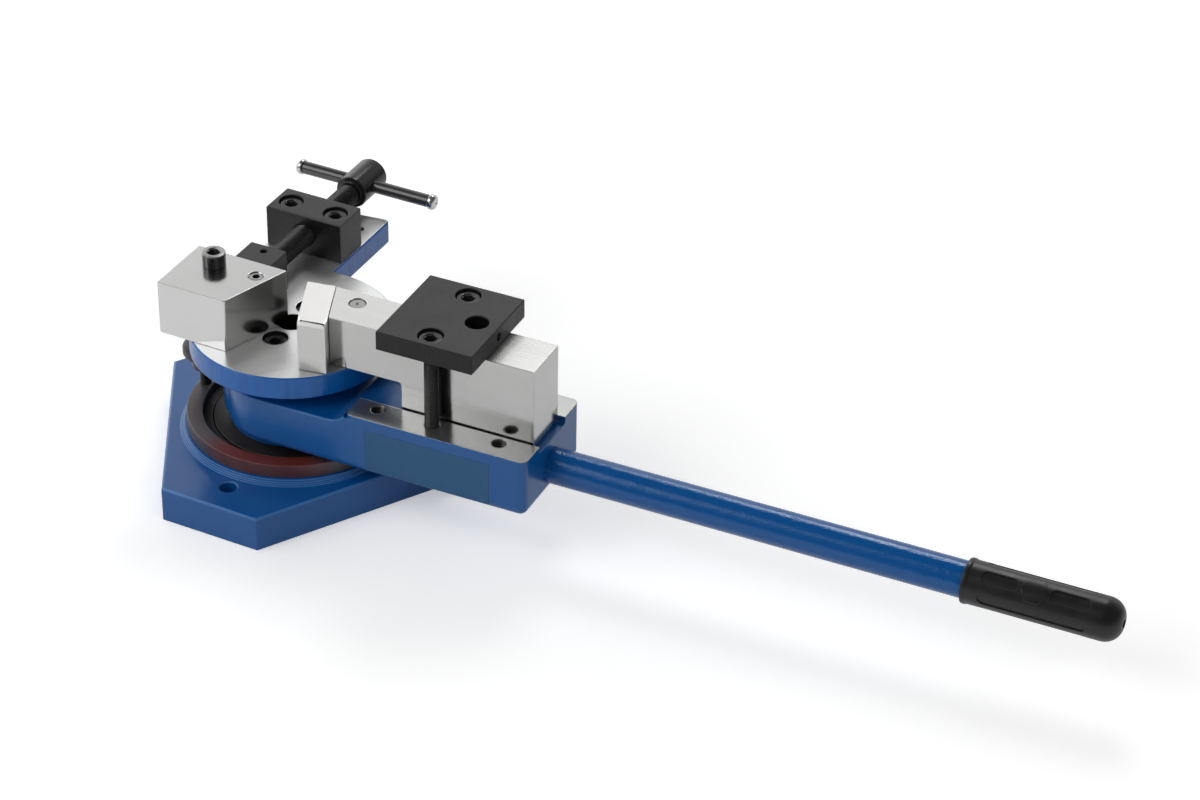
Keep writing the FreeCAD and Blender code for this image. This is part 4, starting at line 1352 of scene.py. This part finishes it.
@dataclass
class LeverGrip:
    """The moulded grip on the lever's end."""

    start_x: float = 494.0
    end_x: float = 598.3
    height: float = 62.0
    radius: float = 14.6
    lip_r: float = 15.15
    inner_r: float = 12.5
    tube_end_x: float = 592.0
    hole_r: float = 3.0
    rows: int = 6
    first_row: float = 32.0
    pocket: Tuple[float, float] = (506.0, 578.0)
    pocket_half: float = 4.2
    pocket_depth: float = 0.8
    boss_x: float = 541.0
    boss_gap: float = 10.5

    def body(self) -> Piece:
        """The sleeve with its lip and domed end, turned as one."""
        r, lip, inner, hole = self.radius, self.lip_r, self.inner_r, self.hole_r
        end, inside = self.end_x - self.start_x, self.tube_end_x - self.start_x + 0.3
        dome, crown = 12.2, r - hole - 0.3
        line = [(inner, 0.0), (lip - 0.9, 0.0), (lip - 0.25, 0.3), (lip, 1.1), (lip, 2.6), (lip - 0.2, 3.4),
                (r, 4.2)]
        for step in range(11):
            out, along = polar(1.0, 9 * step)
            line.append((r - crown + crown * out, end - dome + dome * along))
        line += [(hole, end - 0.3), (hole, inside), (inner, inside), (inner, 0.0)]
        return turned("lever_grip_moulded", line, (self.start_x, 0, 0), Axis.ALONG_X, 96)

    def core(self, radius: float, x: float, length: float) -> Piece:
        """A fine round bar inside the grip, to trim tools to its curve."""
        return drum("core", radius, (x, 0, 0), Axis.ALONG_X, length, 96)

    def panel_cutter(self, angle: float, x0: float, x1: float) -> Piece:
        """A long cutter with round ends for one sunk panel."""
        h = self.pocket_half
        tool = block("panel", (x0, -h, self.radius - 4.0), (x1, h, self.radius + 2.0))
        round_edges(tool, h * 0.95, 7, lambda a, b: abs(a.z - b.z) > 1.0)
        return settle(cut(tool, self.core(self.radius - self.pocket_depth, x0 - 10.0, 120.0)),
                      (angle, 0.0, 0.0))

    def tile(self, angle: float) -> Piece:
        """A raised six-sided tile with a curved face."""
        tile = drum("tile", 9.4, (0, 0, self.radius - 5.0), Axis.UP, 8.0, 6)
        round_edges(tile, 1.6, 4, lambda a, b: abs(a.z - b.z) > 1.0)
        settle(tile, (0.0, 0.0, math.radians(30)), metres((self.boss_x, 0.0, 0.0)))
        cut(tile, self.core(self.radius + 0.55, self.boss_x - 20.0, 40.0), operation="INTERSECT")
        return settle(tile, (angle, 0.0, 0.0))

    def build(self, looks: Looks) -> None:
        """Build and dress the grip."""
        piece = self.body()
        angles = [math.radians(self.first_row + 60 * row) for row in range(self.rows)]
        (x0, x1), left, right = self.pocket, self.boss_x - self.boss_gap, self.boss_x + self.boss_gap
        for row, angle in enumerate(angles):
            for span in [(x0, x1)] if row % 3 else [(x0, left), (right, x1)]:
                cut(piece, self.panel_cutter(angle, *span))
        cut(piece, self.tile(angles[0]), self.tile(angles[3]), operation="UNION")
        soften(piece, 0.22, 2, 40)
        settle(piece, shift=metres((0.0, ARM_LINE_Y, self.height)))
        hand_over(piece, looks["grip_vinyl"], Body.LEVER, "lever_grip", 30)


@dataclass
class ClampPlate:
    """The black plate over the slide block, with its two long screws and its set screw."""

    mid_x: float = 129.0
    length: float = 70.0
    width: float = 78.4
    low: float = 144.0
    high: float = 158.0
    hole_x: float = 148.4
    hole_r: float = 8.0
    screw_x: float = 128.4
    screw_spacing: float = 54.4

    def build(self, looks: Looks) -> None:
        """Build and dress the plate and its screws."""
        y0, y1 = ARM_LINE_Y - self.width / 2, ARM_LINE_Y + self.width / 2
        x0, x1 = self.mid_x - self.length / 2, self.mid_x + self.length / 2
        mid_z, thick = (self.low + self.high) / 2, self.high - self.low
        piece = soften(block("clamp_plate_milled", (x0, y0, self.low), (x1, y1, self.high)), 0.7, 3)
        levels = (-THROUGH, thick - 0.5, thick, thick + THROUGH)
        cut(piece, drill(self.hole_r, self.hole_r + 0.5, levels, (self.hole_x, ARM_LINE_Y, self.low),
                         Axis.UP, 56),
            drum("side_hole", 3.0, (self.hole_x, ARM_LINE_Y, mid_z), Axis.ALONG_X, 30.0, 32))
        places = [(self.screw_x, ARM_LINE_Y + side * self.screw_spacing / 2) for side in (-1, 1)]
        for place in places:
            cut(piece, counterbore((*place, self.high), thick + THROUGH))
        hand_over(piece, looks["plate_black"], Body.LEVER, "clamp_plate")
        sunk_screws(looks, "plate_screw", Body.LEVER, places, self.high, 71.5)
        line = [(2.5, 0.0), (2.95, 0.4), (2.95, 5.2), (2.5, 5.6)]
        plug = grub("plate_grub", line, (x1 - 1.0, ARM_LINE_Y, mid_z), Axis.AGAINST_X, 32, 3.0, 2.4)
        hand_over(plug, looks["socket_black"], Body.LEVER, "plate_set_screw")


@dataclass
class SlideAndDie:
    """The slide block with the slanted die at its nose."""

    end_x: float = 198.6
    foot_x: float = 101.2
    low: float = 83.0
    nose_low: float = 107.5
    high: float = 144.0
    half: float = 18.3
    nose_x: float = 41.0
    slant: float = 20.5
    notch_round: float = 2.2
    heel: float = 3.0
    die_t: float = 19.6
    die_gap: float = 0.3
    front_reach: float = 32.0
    back_reach: float = 19.0
    end_angle: float = 9.0
    pin_inset: float = 16.8
    pin_r: float = 5.9

    def nose_at(self, y: float) -> float:
        """The slanted nose's distance from the pivot at a sideways place."""
        return self.nose_x - (y - ARM_LINE_Y) * math.tan(math.radians(self.slant))

    def at_pin(self, height: float) -> Point:
        """The place on the axis of the die's upright pin at a height."""
        x, y = polar(self.pin_inset, self.slant)
        return self.nose_x + x, ARM_LINE_Y + y, height

    def slide(self) -> Piece:
        """The slide block: a plan cut out, notched below and drilled."""
        y0, y1 = ARM_LINE_Y - self.half, ARM_LINE_Y + self.half
        plan = [(self.nose_at(y0), y0), (self.end_x, y0), (self.end_x, y1), (self.nose_at(y1), y1)]
        piece = plate_from("slide_block_ground", plan, self.low, self.high)
        notch = block("notch", (-10.0, y0 - 10.0, self.low - 10.0), (self.foot_x, y1 + 10.0, self.nose_low))
        round_edges(notch, self.notch_round, 6,
                    lambda a, b: min(a.x, b.x) > self.foot_x - 0.1 and min(a.z, b.z) > self.nose_low - 0.1)
        cut(piece, notch)
        round_edges(piece, self.heel, 1,
                    lambda a, b: min(a.x, b.x) > self.end_x - 0.1 and max(a.z, b.z) < self.low + 0.1)
        soften(piece, 0.5, 3, 40)
        levels = (0.0, 9.7, 10.02, 12.0)
        return cut(piece, drill(self.pin_r + 0.1, self.pin_r + 0.4, levels, self.at_pin(self.high - 10.0),
                                Axis.UP, 56))

    def die(self) -> Piece:
        """The die: a skewed bar along the slanted nose, its front top edge well rounded."""
        a = math.radians(self.slant)
        along, out = Vector((-math.sin(a), math.cos(a))), Vector((-math.cos(a), -math.sin(a)))
        skew = math.tan(math.radians(self.slant - self.end_angle))
        plan = []
        for reach, off in ((-self.front_reach, 0.0), (self.back_reach, 0.0), (self.back_reach, self.die_t),
                           (-self.front_reach, self.die_t)):
            corner = Vector((self.nose_x,
                             ARM_LINE_Y)) + along * (reach + skew * off) + out * (off + self.die_gap)
            plan.append((corner.x, corner.y))
        top, tip = self.high + 0.4, min(y for _, y in plan)
        piece = plate_from("bending_die_ground", plan, self.nose_low, top)
        round_edges(piece, 1.0, 3, lambda p, q: abs(p.z - q.z) > 20.0)
        round_edges(piece, 3.4, 6, lambda p, q: min(p.z, q.z) > top - 0.1 and max(p.y, q.y) < tip + 7.5)
        return soften(piece, 0.4, 2, 40)

    def build(self, looks: Looks) -> None:
        """Build and dress the slide block, the die and its pin."""
        hand_over(self.slide(), looks["slide_steel"], Body.SLIDE, "slide_block")
        die = hand_over(self.die(), looks["die_steel"], Body.SLIDE, "bending_die", 25)
        # The rounded front top edge takes the paler steel as a painted highlight.
        dress_faces(die, looks["die_edge_highlight_steel"], lambda c, n: 0.15 < n.z < 0.985 and n.y < -0.1)
        r = self.pin_r
        line = [(0.0, 9.0), (r, 9.0), (r, 0.8), (r - 0.8, 0.0), (1.4, 0.0), (0.2, 1.2), (0.0, 1.2)]
        pin = turned("die_pin_turned", line, self.at_pin(self.high - 0.5), Axis.DOWN, 56)
        hand_over(pin, looks["pin_steel"], Body.SLIDE, "die_pin")


# Stage

@dataclass
class Studio:
    """The pale floor, the soft lamps, the world and the camera of the photograph."""

    yaw: float = 25.994
    pitch: float = 33.721
    roll: float = -1.045
    place: Point = (1.078312, -1.733642, 1.403665)
    lens: float = 106.7216
    floor_white: float = 0.88
    floor_glow: float = 0.37
    floor_gloss: float = 0.10
    ceiling: float = 0.10
    wall_front: float = 0.12
    wall_back: float = 0.80
    wall_way: Point = (-0.30, 0.95, 0.0)
    left_way: Point = (-0.95, 0.30, 0.10)
    right_way: Point = (0.50, 0.75, 0.42)
    dark_way: Point = (0.80, 0.45, 0.40)

    def camera(self) -> None:
        """Set the camera where the photograph was taken from."""
        yaw, pitch, roll = (math.radians(v) for v in (self.yaw, self.pitch, self.roll))
        right = Vector((math.cos(yaw), math.sin(yaw), 0.0))
        ahead = Vector((-math.sin(yaw) * math.cos(pitch), math.cos(yaw) * math.cos(pitch), -math.sin(pitch)))
        down = ahead.cross(right)
        across = right * math.cos(roll) + down * math.sin(roll)
        below = down * math.cos(roll) - right * math.sin(roll)
        data = bpy.data.cameras.new("photo_camera")
        data.lens, data.sensor_width = self.lens, 36.0
        data.clip_start, data.clip_end = 0.05, 50.0
        camera = bpy.data.objects.new("photo_camera", data)
        bpy.context.scene.collection.objects.link(camera)
        turn = Matrix((across, -below, -ahead)).transposed()
        camera.matrix_world = Matrix.Translation(Vector(self.place)) @ turn.to_4x4()
        bpy.context.scene.camera = camera

    def lamp(self, name: str, place: Point, aim: Point, size: float, power: float) -> Piece:
        """Add one soft box and return it."""
        data = bpy.data.lights.new(name, "AREA")
        data.shape, data.size, data.energy = "SQUARE", size, power
        lamp = bpy.data.objects.new(name, data)
        bpy.context.scene.collection.objects.link(lamp)
        lamp.location = place
        lamp.rotation_euler = (Vector(aim) - Vector(place)).to_track_quat("-Z", "Y").to_euler()
        return lamp

    def rays(self, sheet: NodeSheet, *kinds: str) -> List[Wire]:
        """Which kind of ray sees the stage."""
        outputs = sheet.node("LightPath").outputs
        return [Wire(sheet, outputs["Is %s Ray" % kind]) for kind in kinds]

    def floor(self) -> None:
        """A wide pale floor that keeps the object's shadow."""
        bpy.ops.object.select_all(action="DESELECT")
        bpy.ops.mesh.primitive_plane_add(size=30.0, location=(0, 0, 0))
        floor = take("studio_floor")
        material = bpy.data.materials.new("studio_floor")
        material.use_nodes = True
        sheet = NodeSheet(material.node_tree)
        seen, glossy, through = self.rays(sheet, "Camera", "Glossy", "Transmission")
        glow = (seen * self.floor_glow) | ((glossy | through) * self.floor_gloss)
        shader = sheet.add("BsdfPrincipled", {"Base Color": (self.floor_white,) * 3, "Roughness": 0.7,
                                              "Specular IOR Level": 0.2, "Emission Color": (1.0, 1.0, 1.0),
                                              "Emission Strength": glow})
        sheet.node("OutputMaterial", {"Surface": shader})
        floor.data.materials.append(material)

    def world(self) -> None:
        """A surround that is white to the camera, and to all else a wall, bright behind and dim in front."""
        world = bpy.data.worlds.new("studio_world")
        bpy.context.scene.world = world
        world.use_nodes = True
        sheet = NodeSheet(world.node_tree)
        way = sheet.add("TexCoord", out="Generated")
        ways = (self.wall_way, self.left_way, self.right_way, self.dark_way)
        side, left, right, dark = (sheet.dot(way, aim) for aim in ways)
        panels = sheet.remap(left, 0.60, 0.90, 0.0, 0.8) + sheet.remap(right, 0.955, 0.985)
        wall = sheet.remap(side, -0.5, 0.7, self.wall_front, self.wall_back) + panels
        wall = wall * sheet.remap(dark, 0.70, 0.92, 1.0, 0.25)
        level = sheet.value(sheet.remap(sheet.parts(way)[2], 0.78, 0.60), self.ceiling, wall)
        level = sheet.value(self.rays(sheet, "Camera")[0], level, 1.0)
        sheet.node("OutputWorld", {"Surface": sheet.add("Background",
                                                        {"Color": (1.0, 1.0, 1.0), "Strength": level})})

    def build(self) -> None:
        """Set up the whole stage."""
        bpy.context.scene.view_settings.view_transform = "Standard"
        self.camera()
        self.floor()
        self.world()
        self.lamp("back_box", (-0.28, 1.60, 2.08), (0.15, 0.0, 0.05), 0.72, 12.5)
        self.lamp("front_box", (-1.22, -1.37, 1.66), (0.1, 0.0, 0.05), 1.53, 14.0)
        self.lamp("front_fill", (-0.9, -2.4, 2.2), (0.15, 0.0, 0.05), 2.0, 28.0).visible_glossy = False
        self.lamp("right_fill", (2.4, -0.9, 1.7), (0.1, 0.0, 0.05), 1.8, 16.0).visible_glossy = False


def main() -> None:
    """Build the stage, the finishes and every sub-assembly, and give the CAD nodes that keep their own shape
    a finish.
    """
    logging.basicConfig(level=logging.INFO, format="%(name)s: %(message)s")
    Studio().build()
    looks = build_palette()
    for assembly in (BaseCasting(), StopRing(), Table(), FormerBlock(), ScrewBlock(), ClampScrew(), Pusher(),
                     LeverArm(), LeverGrip(), ClampPlate(), SlideAndDie()):
        assembly.build(looks)
    for node, look in (("column", "inner_steel"), ("upper_thrust_washer", "inner_steel"),
                       ("lower_thrust_washer", "washer_iron"), ("hub_collar", "collar_paint"),
                       ("column_screws", "socket_black"), ("hub_bush", "bush_bronze")):
        dress_node(node, looks[look])
    bpy.ops.object.select_all(action="DESELECT")


if __name__ == "__main__":
    main()
